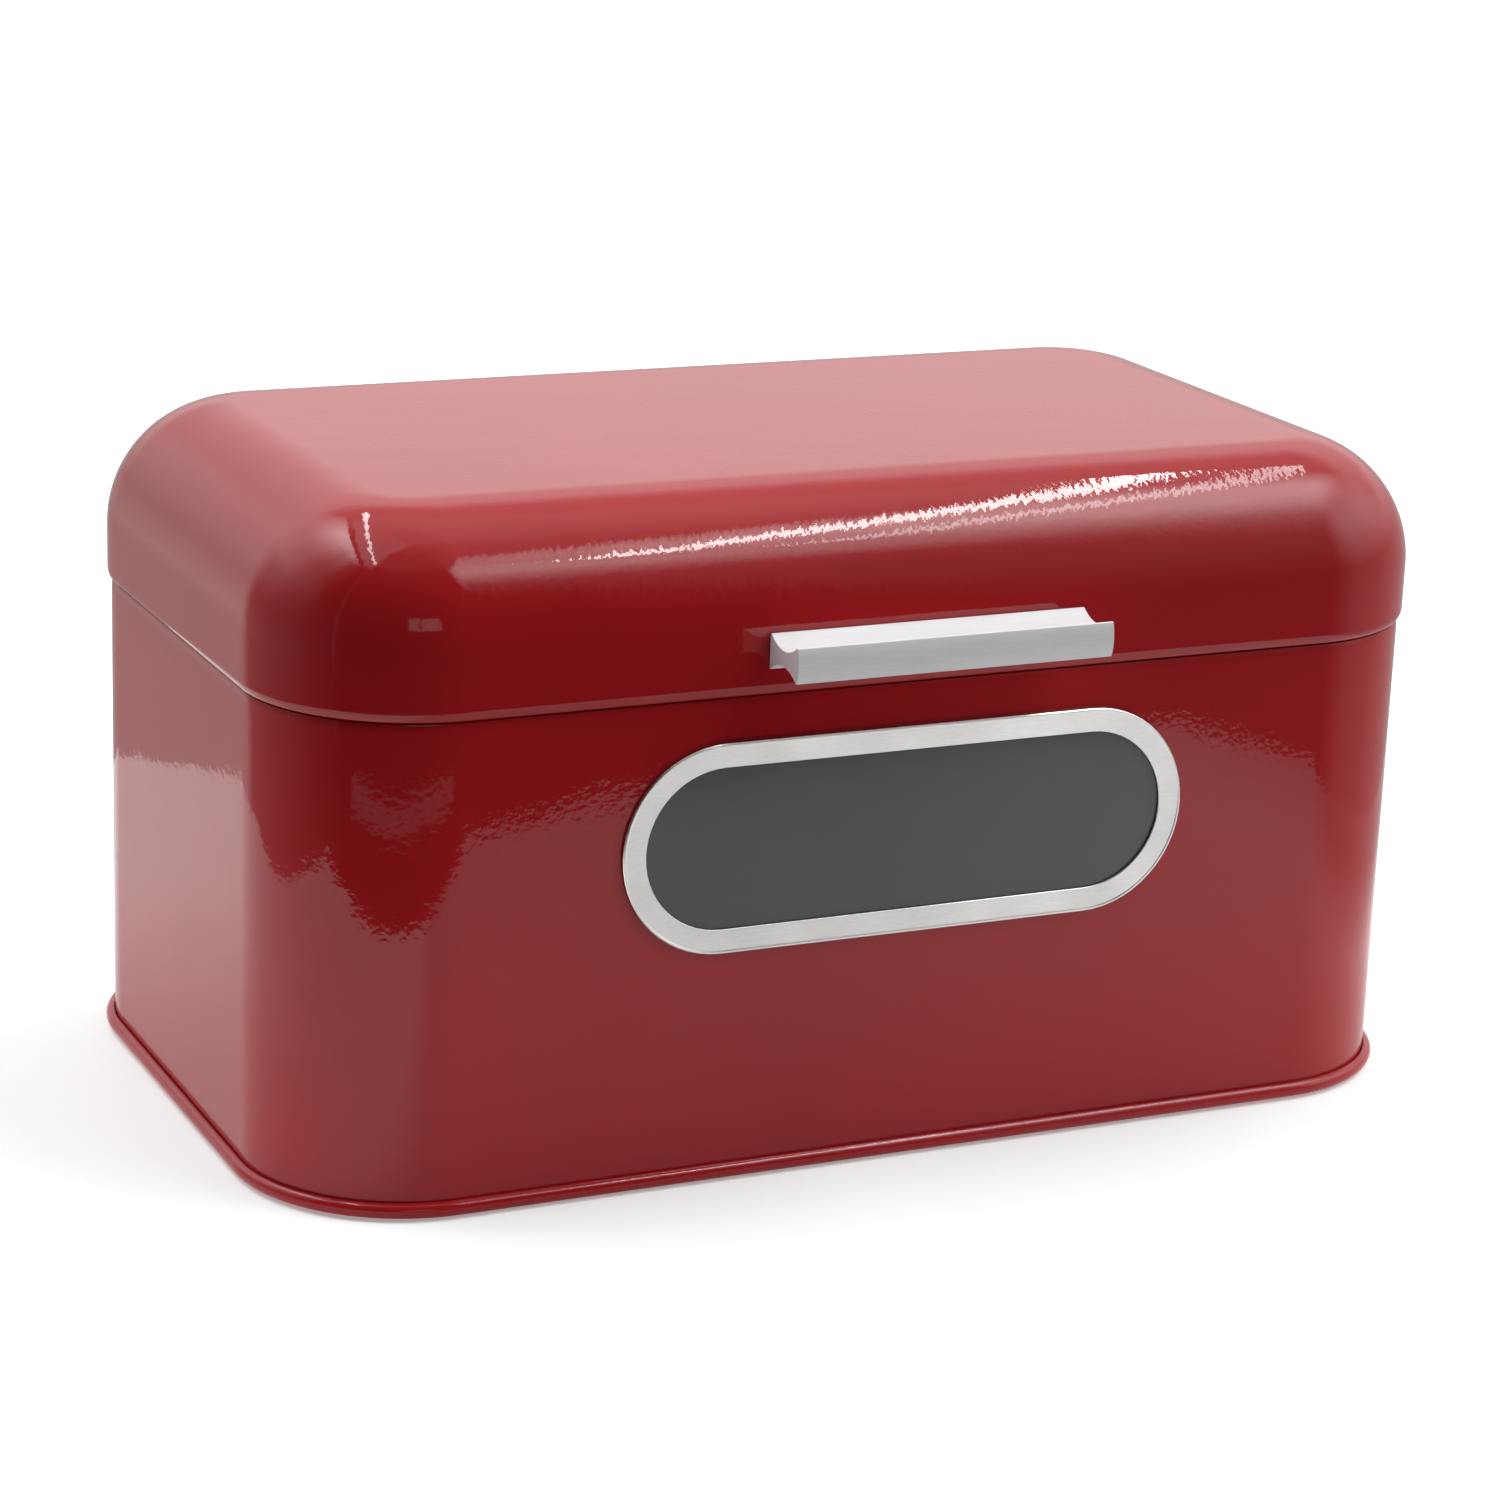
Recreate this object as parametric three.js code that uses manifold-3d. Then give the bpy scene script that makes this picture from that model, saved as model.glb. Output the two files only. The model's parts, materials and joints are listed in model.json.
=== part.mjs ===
// Bread bin: a sheet-steel bin with a deep-drawn hinged lid, a bar handle and a window.
// Millimetres, +Z up, front towards -Y. The origin is the bottom centre of the bounding box.
import * as THREE from "three";
import { ParametricGeometry } from "three/addons/geometries/ParametricGeometry.js";
import { mergeVertices } from "three/addons/utils/BufferGeometryUtils.js";
import Module from "manifold-3d";

const wasm = await Module();
wasm.setup();

// ---- Driving dimensions ----
const sheet = 0.7; // steel sheet of the wall, lid and collar
const gap = 0.3; // clearance between pieces that touch
const bodyWidth = 420;
const bodyDepth = 247;
const cornerRadius = 55; // vertical corners, seen from above
const jointHeight = 164.4; // middle of the gap between wall and lid
const jointGap = 0.6;
const lidTop = 226.4;
const wallCurl = 0.55; // how far the wall's top edge curves in
const wallCurlHeight = 3.5;
const lidOverhang = 1.4; // how far the lid swells past the wall
const lidEdgeRadius = 43; // round between the lid's side and its top
const tuckHeight = 3.6; // the lid's lower edge curves in over this height
const hemHeight = 5; // doubled sheet at the lid's lower edge
const footLift = 0.6; // the feet hold the seam bead off the table
const beadHeight = 5.2;
const beadReach = 3.2; // how far the seam bead stands out of the wall
const panelHeight = 5; // top of the base panel
const collarBottom = 156;
const collarTop = 171;

const windowHeight = 114.3; // centre of the window above the table
const frameSize = [204, 71];
const openingSize = [187.4, 54.8];
const cutoutSize = [195.2, 62.6]; // hole in the wall
const bezelThickness = 1.2;
const neckWall = 0.8;
const paneThickness = 2.9;
const retainerThickness = 1;

const handleLength = 113.2;
const handleCentre = 3.2; // the bar sits a little right of the middle
const handleHeight = 179.4;
const handleTall = 11.6;
const handleReach = 20.2; // from its back face to its front corners
const handleBulge = 1; // the front face is slightly crowned
const handleScoop = 3.2; // depth of the finger grooves above and below
const handleLip = 0.8;
const screwSpacing = 96;

const hingeSpacing = 240;
const hingeWidth = 36;
const hingeCentreThird = 12;
const hingeSetback = 3.1; // from the wall's back to the pin's axis
const knuckleRadius = 2.4;
const pinRadius = 1.2;
const leafThickness = 1;
const leafReach = 18;
const leafHoleAcross = 11;
const leafHoleReach = 12;
const openAngle = THREE.MathUtils.degToRad(100);
const stopReach = 6.5;
const rivetRadius = 1.45;

const footRadius = 8;
const footPlace = [150, 78];
const ventRadius = 2;
const ventPitch = 12;
const ventColumns = 6;
const ventHeights = [128, 140];

// ---- Worked-out dimensions ----
const wallTop = jointHeight - jointGap / 2;
const lidBottom = jointHeight + jointGap / 2;
const back = bodyDepth / 2;
const lidBack = back + lidOverhang;
const screwHole = 2 + gap;
const rivetHole = rivetRadius + gap;
const wallBottom = footLift + 1.3;
const handleFront = lidBack + gap + handleReach + handleBulge;
const hingeBack = back + hingeSetback + stopReach;

// ---- Materials ----
const finish = (color, roughness, metalness) =>
  new THREE.MeshStandardMaterial({ color, roughness, metalness });
const enamel = finish(0x9c1c20, 0.16, 0);
const steel = finish(0xcfccc8, 0.32, 1);
const aluminium = finish(0xd2d2d2, 0.38, 1);
const zinc = finish(0xb4b2ad, 0.3, 1);
const smoke = finish(0x37363a, 0.15, 0);
smoke.transparent = true;
smoke.opacity = 0.85;
const rubber = finish(0x1b1b1b, 0.85, 0);
const foam = finish(0x24242a, 0.95, 0);

// ---- Solids ----
function solidFrom(geometry) {
  const bare = geometry.clone();
  bare.deleteAttribute("normal");
  bare.deleteAttribute("uv");
  const merged = mergeVertices(bare, 1e-3);
  const all = merged.index.array;
  const kept = [];
  for (let i = 0; i < all.length; i += 3) {
    const [a, b, c] = [all[i], all[i + 1], all[i + 2]];
    if (a !== b && b !== c && c !== a) kept.push(a, b, c);
  }
  const vertProperties = merged.attributes.position.array;
  const triVerts = Uint32Array.from(kept);
  return new wasm.Manifold(new wasm.Mesh({ numProp: 3, vertProperties, triVerts }));
}

function geometryFrom(solid) {
  const mesh = solid.getMesh();
  const geometry = new THREE.BufferGeometry();
  geometry.setAttribute("position", new THREE.BufferAttribute(mesh.vertProperties, 3));
  geometry.setIndex(new THREE.BufferAttribute(mesh.triVerts, 1));
  geometry.computeVertexNormals();
  return geometry;
}

const joined = (...solids) => solids.reduce((whole, part) => whole.add(part));
const cut = (solid, ...tools) => tools.reduce((left, tool) => left.subtract(tool), solid);

function named(name, solid, material) {
  const mesh = new THREE.Mesh(geometryFrom(solid), material);
  mesh.name = name;
  return mesh;
}

// ---- Shapes that follow the bin's plan, a rounded rectangle ----
const cornerSteps = 8;
const cornerSigns = [[1, 1], [-1, 1], [-1, -1], [1, -1]];

function planPoint(step, outset) {
  const corner = Math.floor(step / (cornerSteps + 1));
  const turn = ((corner + (step % (cornerSteps + 1)) / cornerSteps) * Math.PI) / 2;
  const radius = cornerRadius + outset;
  const [sideX, sideY] = cornerSigns[corner];
  const x = sideX * (bodyWidth / 2 - cornerRadius) + radius * Math.cos(turn);
  const y = sideY * (bodyDepth / 2 - cornerRadius) + radius * Math.sin(turn);
  return new THREE.Vector2(x, y);
}

const planSteps = cornerSigns.length * (cornerSteps + 1);

// A closed profile of [outset, z] points, anticlockwise, carried round the plan.
function planRing(profile) {
  const surface = (u, v, target) => {
    const [outset, z] = profile[Math.round(v * profile.length) % profile.length];
    const point = planPoint(Math.round(u * planSteps) % planSteps, outset);
    target.set(point.x, point.y, z);
  };
  return solidFrom(new ParametricGeometry(surface, planSteps, profile.length));
}

function planPlate(outset, bottom, top) {
  const outline = [...Array(planSteps).keys()].map((step) => planPoint(step, outset));
  const depth = top - bottom;
  const plate = new THREE.ExtrudeGeometry(new THREE.Shape(outline), { depth, bevelEnabled: false });
  return solidFrom(plate.translate(0, 0, bottom));
}

// ---- Shapes that run through a wall ----
// A round bar along Y, or a hole to cut.
function crossBar(x, z, radius, nearY, farY, segments = 16) {
  const bar = new THREE.CylinderGeometry(radius, radius, farY - nearY, segments);
  return solidFrom(bar.translate(x, (nearY + farY) / 2, z));
}

function stadium([width, height]) {
  const radius = height / 2;
  const half = width / 2 - radius;
  const outline = new THREE.Shape();
  outline.absarc(half, 0, radius, -Math.PI / 2, Math.PI / 2);
  outline.absarc(-half, 0, radius, Math.PI / 2, (3 * Math.PI) / 2);
  return outline;
}

// A stadium plate on the front of the bin, between two distances outwards from the wall's face.
function windowPlate(size, inner, outer, hole) {
  const outline = stadium(size);
  if (hole) outline.holes.push(stadium(hole));
  const plate = new THREE.ExtrudeGeometry(outline, {
    depth: outer - inner,
    bevelEnabled: false,
    curveSegments: 10,
  });
  plate.translate(0, 0, inner).rotateX(Math.PI / 2);
  return solidFrom(plate.translate(0, -back, windowHeight));
}

const grown = ([width, height], by) => [width + 2 * by, height + 2 * by];

function block(sizeX, sizeY, sizeZ, x, y, z) {
  return solidFrom(new THREE.BoxGeometry(sizeX, sizeY, sizeZ).translate(x, y, z));
}

// ---- Places of the fasteners ----
const hingeCentres = { left: -hingeSpacing / 2, right: hingeSpacing / 2 };
const axisY = back + hingeSetback;
const screwCentres = [-screwSpacing / 2, screwSpacing / 2].map((x) => x + handleCentre);

function rivetHoles(z, nearY, farY) {
  const places = Object.values(hingeCentres).flatMap((x) => [x - leafHoleAcross, x + leafHoleAcross]);
  return places.map((x) => crossBar(x, z, rivetHole, nearY, farY));
}

// ---- Body wall ----
function bodyShell() {
  const halfway = [-wallCurl / 4, wallTop - wallCurlHeight / 2];
  const outer = [[0, wallBottom], [0, wallTop - wallCurlHeight], halfway, [-wallCurl, wallTop]];
  const inner = outer.map(([outset, z]) => [outset - sheet, z]).reverse();
  const opening = windowPlate(cutoutSize, -5, 5);
  const rivets = rivetHoles(jointHeight - leafHoleReach, back - 5, back + 5);
  const vents = ventHeights.flatMap((z) =>
    [...Array(ventColumns).keys()].map((column) =>
      crossBar((column - (ventColumns - 1) / 2) * ventPitch, z, ventRadius, back - 5, back + 5, 10),
    ),
  );
  return cut(planRing([...outer, ...inner]), opening, ...rivets, ...vents);
}

// ---- Base pan: a panel whose edge goes down inside the wall and hooks round it as a bead ----
function basePanel() {
  const leg = -sheet - gap; // outer face of the leg inside the wall
  const thickness = 0.8;
  const hookFloor = footLift + thickness;
  const beadRadius = beadHeight / 2;
  const profile = [[-4, panelHeight], [-4, panelHeight - thickness]];
  profile.push([leg - thickness, panelHeight - thickness], [leg - thickness, footLift + 0.5]);
  profile.push([leg - 0.3, footLift]);
  for (let i = 0; i <= 8; i++) {
    const turn = -Math.PI / 2 + (i / 8) * Math.PI;
    const outset = beadReach - beadRadius + beadRadius * Math.cos(turn);
    profile.push([outset, footLift + beadRadius + beadRadius * Math.sin(turn)]);
  }
  profile.push([gap, footLift + beadHeight - 0.2], [gap, hookFloor]);
  profile.push([leg, hookFloor], [leg, panelHeight]);
  return joined(planRing(profile), planPlate(-3, panelHeight - thickness, panelHeight));
}

// ---- Collar: a joggled ring inside the wall that stands up into the lid ----
function innerCollar() {
  const low = -sheet - gap;
  const high = low - 1.4;
  const joggle = [wallTop - wallCurlHeight - 0.7, wallTop - 1.6];
  const outer = [[low, collarBottom], [low, joggle[0]], [high, joggle[1]], [high, collarTop]];
  const inner = outer.map(([outset, z]) => [outset - sheet, z]).reverse();
  return planRing([...outer, ...inner]);
}

// ---- Lid ----
// The lid's section at a depth below its outer surface, from the lower edge up to the tuck's top.
function tuckCurve(depth, height) {
  const steps = 4;
  return [...Array(steps + 1).keys()].map((i) => {
    const rise = (i / steps) * height;
    const left = Math.max(0, 1 - rise / tuckHeight);
    return [lidOverhang * (1 - left * left) - depth, lidBottom + rise];
  });
}

function lidCurve(depth) {
  const steps = 8;
  const edge = [...Array(steps + 1).keys()].map((i) => {
    const turn = ((i / steps) * Math.PI) / 2;
    const radius = lidEdgeRadius - depth;
    const outset = lidOverhang - lidEdgeRadius + radius * Math.cos(turn);
    return [outset, lidTop - lidEdgeRadius + radius * Math.sin(turn)];
  });
  const flat = [lidOverhang - lidEdgeRadius - 2, lidTop - depth];
  return [...tuckCurve(depth, tuckHeight), ...edge, flat];
}

function lidShell() {
  const skin = planRing([...lidCurve(0), ...lidCurve(sheet).reverse()]);
  const top = planPlate(lidOverhang - lidEdgeRadius - 1, lidTop - sheet, lidTop);
  const hem = planRing([...tuckCurve(sheet / 2, hemHeight), ...tuckCurve(2 * sheet, hemHeight).reverse()]);
  const screws = screwCentres.map((x) => crossBar(x, handleHeight, screwHole, -lidBack - 5, -lidBack + 5));
  const rivets = rivetHoles(jointHeight + leafHoleReach, back - 5, back + 5);
  return cut(joined(skin, top, hem), ...screws, ...rivets);
}

// ---- Handle: an extruded bar with a finger groove above and below its waist ----
function handleBar() {
  const half = handleTall / 2;
  const middle = handleReach / 2;
  const chord = handleReach - 2 * handleLip;
  const radius = (chord * chord) / (8 * handleScoop) + handleScoop / 2;
  const rise = half - handleScoop + radius; // groove's centre above the waist's middle
  const reach = Math.asin(chord / 2 / radius);
  const crown = (half * half) / (2 * handleBulge) + handleBulge / 2;
  const spread = Math.asin(half / crown);
  const outline = new THREE.Shape();
  outline.moveTo(0, half);
  outline.lineTo(0, -half);
  outline.absarc(middle, -rise, radius, Math.PI / 2 + reach, Math.PI / 2 - reach, true);
  outline.absarc(handleReach + handleBulge - crown, 0, crown, -spread, spread);
  outline.absarc(middle, rise, radius, -Math.PI / 2 + reach, -Math.PI / 2 - reach, true);
  const bar = new THREE.ExtrudeGeometry(outline, {
    depth: handleLength,
    bevelEnabled: false,
    curveSegments: 7,
  });
  bar.translate(0, 0, -handleLength / 2);
  const outwards = new THREE.Vector3(0, -1, 0);
  const upwards = new THREE.Vector3(0, 0, 1);
  bar.applyMatrix4(new THREE.Matrix4().makeBasis(outwards, upwards, new THREE.Vector3(-1, 0, 0)));
  const backFace = -lidBack - gap;
  const holes = screwCentres.map((x) => crossBar(x, handleHeight, screwHole, backFace - 9, backFace + 1));
  return cut(solidFrom(bar.translate(handleCentre, backFace, handleHeight)), ...holes);
}

// ---- Turned pieces: a section of [radius, height] points that starts and ends on the axis ----
function turned(section, segments = 12) {
  const points = section.map(([radius, height]) => new THREE.Vector2(radius, height));
  return solidFrom(new THREE.LatheGeometry(points, segments));
}

// The pieces below are turned about Y, with the head towards +Y.
function handleScrew() {
  return turned([[0, -9.4], [1.6, -9.4], [2, -8.9], [2, 0], [3.7, 0], [3.7, 1.5], [2.6, 2.3], [0, 2.4]]);
}

function handleWasher() {
  const ring = new THREE.CylinderGeometry(4.5, 4.5, 1, 14);
  const bore = new THREE.CylinderGeometry(screwHole, screwHole, 3, 14);
  return cut(solidFrom(ring), solidFrom(bore));
}

function rivet(grip) {
  const shopHead = [[0, -grip - 1], [2.2, -grip - 1], [2.5, -grip - 0.7], [2.5, -grip]];
  const shank = [[rivetRadius, -grip], [rivetRadius, 0]];
  const dome = [[3, 0], [2.8, 0.5], [1.9, 1], [0, 1.2]];
  return turned([...shopHead, ...shank, ...dome], 10);
}

function foot() {
  const top = panelHeight - 0.8 - gap;
  return turned([[0, 0], [footRadius - 0.8, 0], [footRadius, 0.8], [footRadius - 0.6, top], [0, top]], 18);
}

// ---- Window ----
const tabPlaces = [
  ...[-60, 0, 60].flatMap((x) => [[x, 1], [x, -1]]),
  ...[[cutoutSize[0] / 2, 0], [-cutoutSize[0] / 2, 0]],
];
const neckEnd = -paneThickness;
const retainerFront = neckEnd - gap;
const retainerBack = retainerFront - retainerThickness;

// A box on the neck's rim at a tab, between two distances outwards from the wall's face.
function tabBlock([x, side], inset, outset, across, inner, outer) {
  const depth = outer - inner;
  const y = -back - (inner + outer) / 2;
  const thick = inset + outset;
  const rim = (side === 0 ? cutoutSize[0] : cutoutSize[1]) / 2 - gap - neckWall / 2;
  const along = rim + (outset - inset) / 2;
  if (side === 0) return block(thick, depth, across, Math.sign(x) * along, y, windowHeight);
  return block(across, depth, thick, x, y, windowHeight + side * along);
}

function windowFrame() {
  const neckSize = grown(cutoutSize, -gap);
  const bezel = windowPlate(frameSize, gap, gap + bezelThickness, openingSize);
  const neck = windowPlate(neckSize, neckEnd, gap + 0.1, grown(neckSize, -neckWall));
  const folds = tabPlaces.flatMap((place) => [
    tabBlock(place, 0.35, 0.35, 6, retainerBack - gap - 0.7, neckEnd + 1),
    tabBlock(place, 0.35, 4, 6, retainerBack - gap - 0.7, retainerBack - gap),
  ]);
  return joined(bezel, neck, ...folds);
}

function windowPane() {
  return windowPlate(grown(cutoutSize, -2 * gap - neckWall), -paneThickness, 0);
}

function windowGasket() {
  return windowPlate(grown(cutoutSize, 5.4), neckEnd, -sheet - gap, cutoutSize);
}

function windowRetainer() {
  const ring = windowPlate(grown(cutoutSize, 5.4), retainerBack, retainerFront, grown(openingSize, -0.4));
  const slots = tabPlaces.map((place) => tabBlock(place, 0.7, 0.7, 6.8, retainerBack - 1, retainerFront + 1));
  return cut(ring, ...slots);
}

// ---- Hinges, about the pin's axis: X along the pin, Y outwards from the bin's back ----
function alongPin(radius, from, to, segments = 14) {
  const bar = new THREE.CylinderGeometry(radius, radius, to - from, segments);
  return solidFrom(bar.rotateZ(Math.PI / 2).translate((from + to) / 2, 0, 0));
}

// A leaf plate standing on the XZ plane with its two far corners rounded.
function leafPlate(near, far, innerY) {
  const half = hingeWidth / 2;
  const round = 3;
  const outline = new THREE.Shape();
  outline.moveTo(-half, near);
  outline.lineTo(half, near);
  outline.absarc(half - round, far - round, round, 0, Math.PI / 2);
  outline.absarc(round - half, far - round, round, Math.PI / 2, Math.PI);
  const plate = new THREE.ExtrudeGeometry(outline, {
    depth: leafThickness,
    bevelEnabled: false,
    curveSegments: 4,
  });
  return solidFrom(plate.rotateX(Math.PI / 2).translate(0, innerY + leafThickness, 0));
}

const knuckleClear = knuckleRadius + gap + 0.05;
const bore = alongPin(pinRadius + gap, -hingeWidth, hingeWidth);
const leafHoles = (z) => [-1, 1].map((side) => crossBar(side * leafHoleAcross, z, rivetHole, -9, 9));

function lidLeaf() {
  const innerY = lidBack + gap - axisY;
  const centre = hingeCentreThird - gap;
  const tongueY = innerY + leafThickness / 2;
  const tongue = block(centre, leafThickness, knuckleClear + 0.5, 0, tongueY, knuckleClear / 2);
  const knuckle = alongPin(knuckleRadius, -centre / 2, centre / 2);
  const leaf = joined(leafPlate(knuckleClear, leafReach, innerY), tongue, knuckle);
  return cut(leaf, bore, ...leafHoles(leafHoleReach));
}

// The ear's sloped edge lies where the lid leaf's back face comes at the open limit.
function stopEar(x) {
  const face = lidBack + gap + leafThickness - axisY;
  const meets = (y) => (y * Math.cos(openAngle) - face - 0.25) / Math.sin(openAngle);
  const outline = new THREE.Shape();
  outline.moveTo(-2.3, -3.4);
  outline.lineTo(-2.3, -13);
  outline.lineTo(stopReach, -5.5);
  outline.lineTo(stopReach, meets(stopReach));
  outline.lineTo(3.3, meets(3.3));
  outline.lineTo(2.4, -3);
  const ear = new THREE.ExtrudeGeometry(outline, { depth: 1.2, bevelEnabled: false });
  const across = new THREE.Vector3(1, 0, 0);
  const outwards = new THREE.Vector3(0, 1, 0);
  ear.applyMatrix4(new THREE.Matrix4().makeBasis(outwards, new THREE.Vector3(0, 0, 1), across));
  return solidFrom(ear.translate(x - 0.6, 0, 0));
}

function bodyLeaf() {
  const innerY = back + gap - axisY;
  const plate = leafPlate(0, leafReach, innerY).mirror([0, 0, 1]);
  const centre = hingeCentreThird + gap;
  const notch = block(centre, 9, 2 * knuckleClear, 0, 0, 0);
  const end = hingeWidth / 2;
  const knuckles = [alongPin(knuckleRadius, -end, -centre / 2), alongPin(knuckleRadius, centre / 2, end)];
  const ears = [stopEar(0.6 - end), stopEar(end - 0.6)];
  const leaf = joined(cut(plate, notch), ...knuckles, ...ears);
  return cut(leaf, bore, ...leafHoles(-leafHoleReach));
}

function hingePin() {
  const end = hingeWidth / 2 + gap;
  const head = 0.8;
  const heads = [alongPin(2.1, -end - head, -end), alongPin(2.1, end, end + head)];
  return joined(alongPin(pinRadius, -end - head / 2, end + head / 2), ...heads);
}

// ---- Assembly ----
const bin = new THREE.Group();
bin.position.y = (handleFront - hingeBack) / 2; // centres the bounding box on the origin

bin.add(named("body_shell", bodyShell(), enamel));
bin.add(named("base_panel", basePanel(), enamel));
bin.add(named("inner_collar", innerCollar(), enamel));
bin.add(named("lid_shell", lidShell(), enamel));
bin.add(named("handle_bar", handleBar(), aluminium));
bin.add(named("window_frame", windowFrame(), steel));
bin.add(named("window_pane", windowPane(), smoke));
bin.add(named("window_gasket", windowGasket(), foam));
bin.add(named("window_retainer", windowRetainer(), zinc));

["left", "right"].forEach((side, i) => {
  const washer = named("handle_washer_" + side, handleWasher(), zinc);
  const innerFace = -lidBack + sheet + gap;
  washer.position.set(screwCentres[i], innerFace + 0.5, handleHeight);
  const screw = named("handle_screw_" + side, handleScrew(), zinc);
  screw.position.set(screwCentres[i], innerFace + 1 + gap, handleHeight);
  bin.add(washer, screw);
});

for (const [side, x] of Object.entries(hingeCentres)) {
  const hinge = new THREE.Group();
  hinge.position.set(x, axisY, jointHeight);
  hinge.add(named("hinge_" + side + "_lid_leaf", lidLeaf(), zinc));
  hinge.add(named("hinge_" + side + "_body_leaf", bodyLeaf(), zinc));
  hinge.add(named("hinge_" + side + "_pin", hingePin(), zinc));
  for (const [end, sign] of [["a", -1], ["b", 1]]) {
    const lidFace = lidBack + 2 * gap + leafThickness - axisY;
    const lidRivet = named("rivet_" + side + "_lid_" + end, rivet(sheet + leafThickness + 3 * gap), zinc);
    lidRivet.position.set(sign * leafHoleAcross, lidFace, leafHoleReach);
    const bodyFace = lidFace - lidOverhang;
    const bodyRivet = named("rivet_" + side + "_body_" + end, rivet(sheet + leafThickness + 3 * gap), zinc);
    bodyRivet.position.set(sign * leafHoleAcross, bodyFace, -leafHoleReach);
    hinge.add(lidRivet, bodyRivet);
  }
  bin.add(hinge);
}

for (const [end, signY] of [["front", -1], ["back", 1]]) {
  for (const [side, signX] of [["left", -1], ["right", 1]]) {
    const pad = named("foot_" + end + "_" + side, foot(), rubber);
    pad.rotation.x = Math.PI / 2;
    pad.position.set(signX * footPlace[0], signY * footPlace[1], 0);
    bin.add(pad);
  }
}

export default bin;
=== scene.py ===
"""Bread bin: a red enamelled steel bin with a hinged lid, a bar handle and a tinted window.

Shapes are made in millimetres in the plan frame, whose origin is the middle of the bin's wall on the
table, X to the right, Y to the back and Z up. Each piece is moved from there into the row frame.
"""
import json
import math

import bpy
import numpy as np
from mathutils import Matrix, Vector
from mathutils.geometry import delaunay_2d_cdt


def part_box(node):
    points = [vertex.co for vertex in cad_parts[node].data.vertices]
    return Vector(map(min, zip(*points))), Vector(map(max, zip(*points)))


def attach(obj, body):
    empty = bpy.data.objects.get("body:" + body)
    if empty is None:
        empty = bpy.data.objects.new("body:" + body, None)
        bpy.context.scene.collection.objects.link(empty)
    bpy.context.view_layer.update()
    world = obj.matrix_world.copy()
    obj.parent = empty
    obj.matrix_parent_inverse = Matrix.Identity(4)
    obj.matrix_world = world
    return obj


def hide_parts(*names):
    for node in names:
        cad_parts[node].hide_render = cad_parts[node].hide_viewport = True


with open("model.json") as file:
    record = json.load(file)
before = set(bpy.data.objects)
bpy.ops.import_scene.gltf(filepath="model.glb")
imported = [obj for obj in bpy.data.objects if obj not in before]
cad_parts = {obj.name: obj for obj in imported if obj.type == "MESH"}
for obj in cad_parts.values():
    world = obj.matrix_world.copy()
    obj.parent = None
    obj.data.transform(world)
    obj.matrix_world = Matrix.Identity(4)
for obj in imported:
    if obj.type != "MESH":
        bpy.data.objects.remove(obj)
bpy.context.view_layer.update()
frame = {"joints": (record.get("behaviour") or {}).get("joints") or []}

MM = 0.001


def cad_box(node):
    """Lowest and highest corner of a CAD node, in millimetres in the row frame."""
    low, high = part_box(node)
    return np.array(low) / MM, np.array(high) / MM


# ---- Sizes ----
WALL_LOW, WALL_HIGH = cad_box("body_shell")
LID_LOW, LID_HIGH = cad_box("lid_shell")
HALF_X, HALF_Y = (WALL_HIGH - WALL_LOW)[:2] / 2
PLAN_Y = (WALL_HIGH + WALL_LOW)[1] / 2  # the plan frame's origin in the row frame
TO_ROW = Matrix.Translation((0, PLAN_Y, 0))
CORNER = 55.0  # radius of the vertical corners
SHEET = 0.7
WALL_CURL = 0.55  # how far the wall's top edge curves in
WALL_CURL_HEIGHT = 3.5
CLEAR = 0.3  # gap between pieces that touch
LID_OVERHANG = (LID_HIGH - LID_LOW)[0] / 2 - HALF_X
LID_EDGE = 43.0  # round between the lid's side and top
TUCK_ROUND = 5.0  # radius by which the lid's lower edge curves in
HEM = 5.0
LID_BACK = HALF_Y + LID_OVERHANG

PAN_LOW, PAN_HIGH = cad_box("base_panel")
BEAD_REACH = PAN_HIGH[0] - HALF_X
BEAD_RADIUS = (PAN_HIGH[2] - PAN_LOW[2]) / 2
PAN_TOP = 5.0
PAN_SHEET = 0.8
COLLAR_LOW, COLLAR_HIGH = cad_box("inner_collar")

FRAME_LOW, FRAME_HIGH = cad_box("window_frame")
FRAME_SIZE = (FRAME_HIGH - FRAME_LOW)[[0, 2]]
WINDOW_Z = (FRAME_HIGH + FRAME_LOW)[2] / 2
BEZEL_WIDTH = 8.2
BEZEL_DISH = 0.36  # how far the bezel falls from its rim to the pane
CUTOUT_INSET = 4.4  # from the bezel's outer edge to the hole in the wall
PANE_THICKNESS = 2.9
NECK_WALL = 0.8
BEZEL_RIM = 1.5
BEZEL_FLAT = 1.32
TAB_WIDTH = 6.0
TAB_FOLD = 4.0  # how far the folded end of a tab reaches outwards
TAB_SHEET = 0.7
TAB_SLOT = 1.4  # width across a tab's slot in the retainer
SLOT_PLAY = 0.8
SEAL_MARGIN = 5.4  # how far the seal and retainer reach past the hole in the wall
RETAINER_THICKNESS = 1.0

BAR_LOW, BAR_HIGH = cad_box("handle_bar")
BAR_LENGTH = (BAR_HIGH - BAR_LOW)[0]
BAR_CENTRE = (BAR_HIGH + BAR_LOW)[0] / 2
BAR_Z = (BAR_HIGH + BAR_LOW)[2] / 2
BAR_TALL = (BAR_HIGH - BAR_LOW)[2]
BAR_BULGE = 1.0
BAR_REACH = (BAR_HIGH - BAR_LOW)[1] - BAR_BULGE
BAR_SCOOP = 3.2
BAR_LIP = 0.8
SCREW_SPACING = 96.0
WASHER_THICKNESS = 1.0

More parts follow.
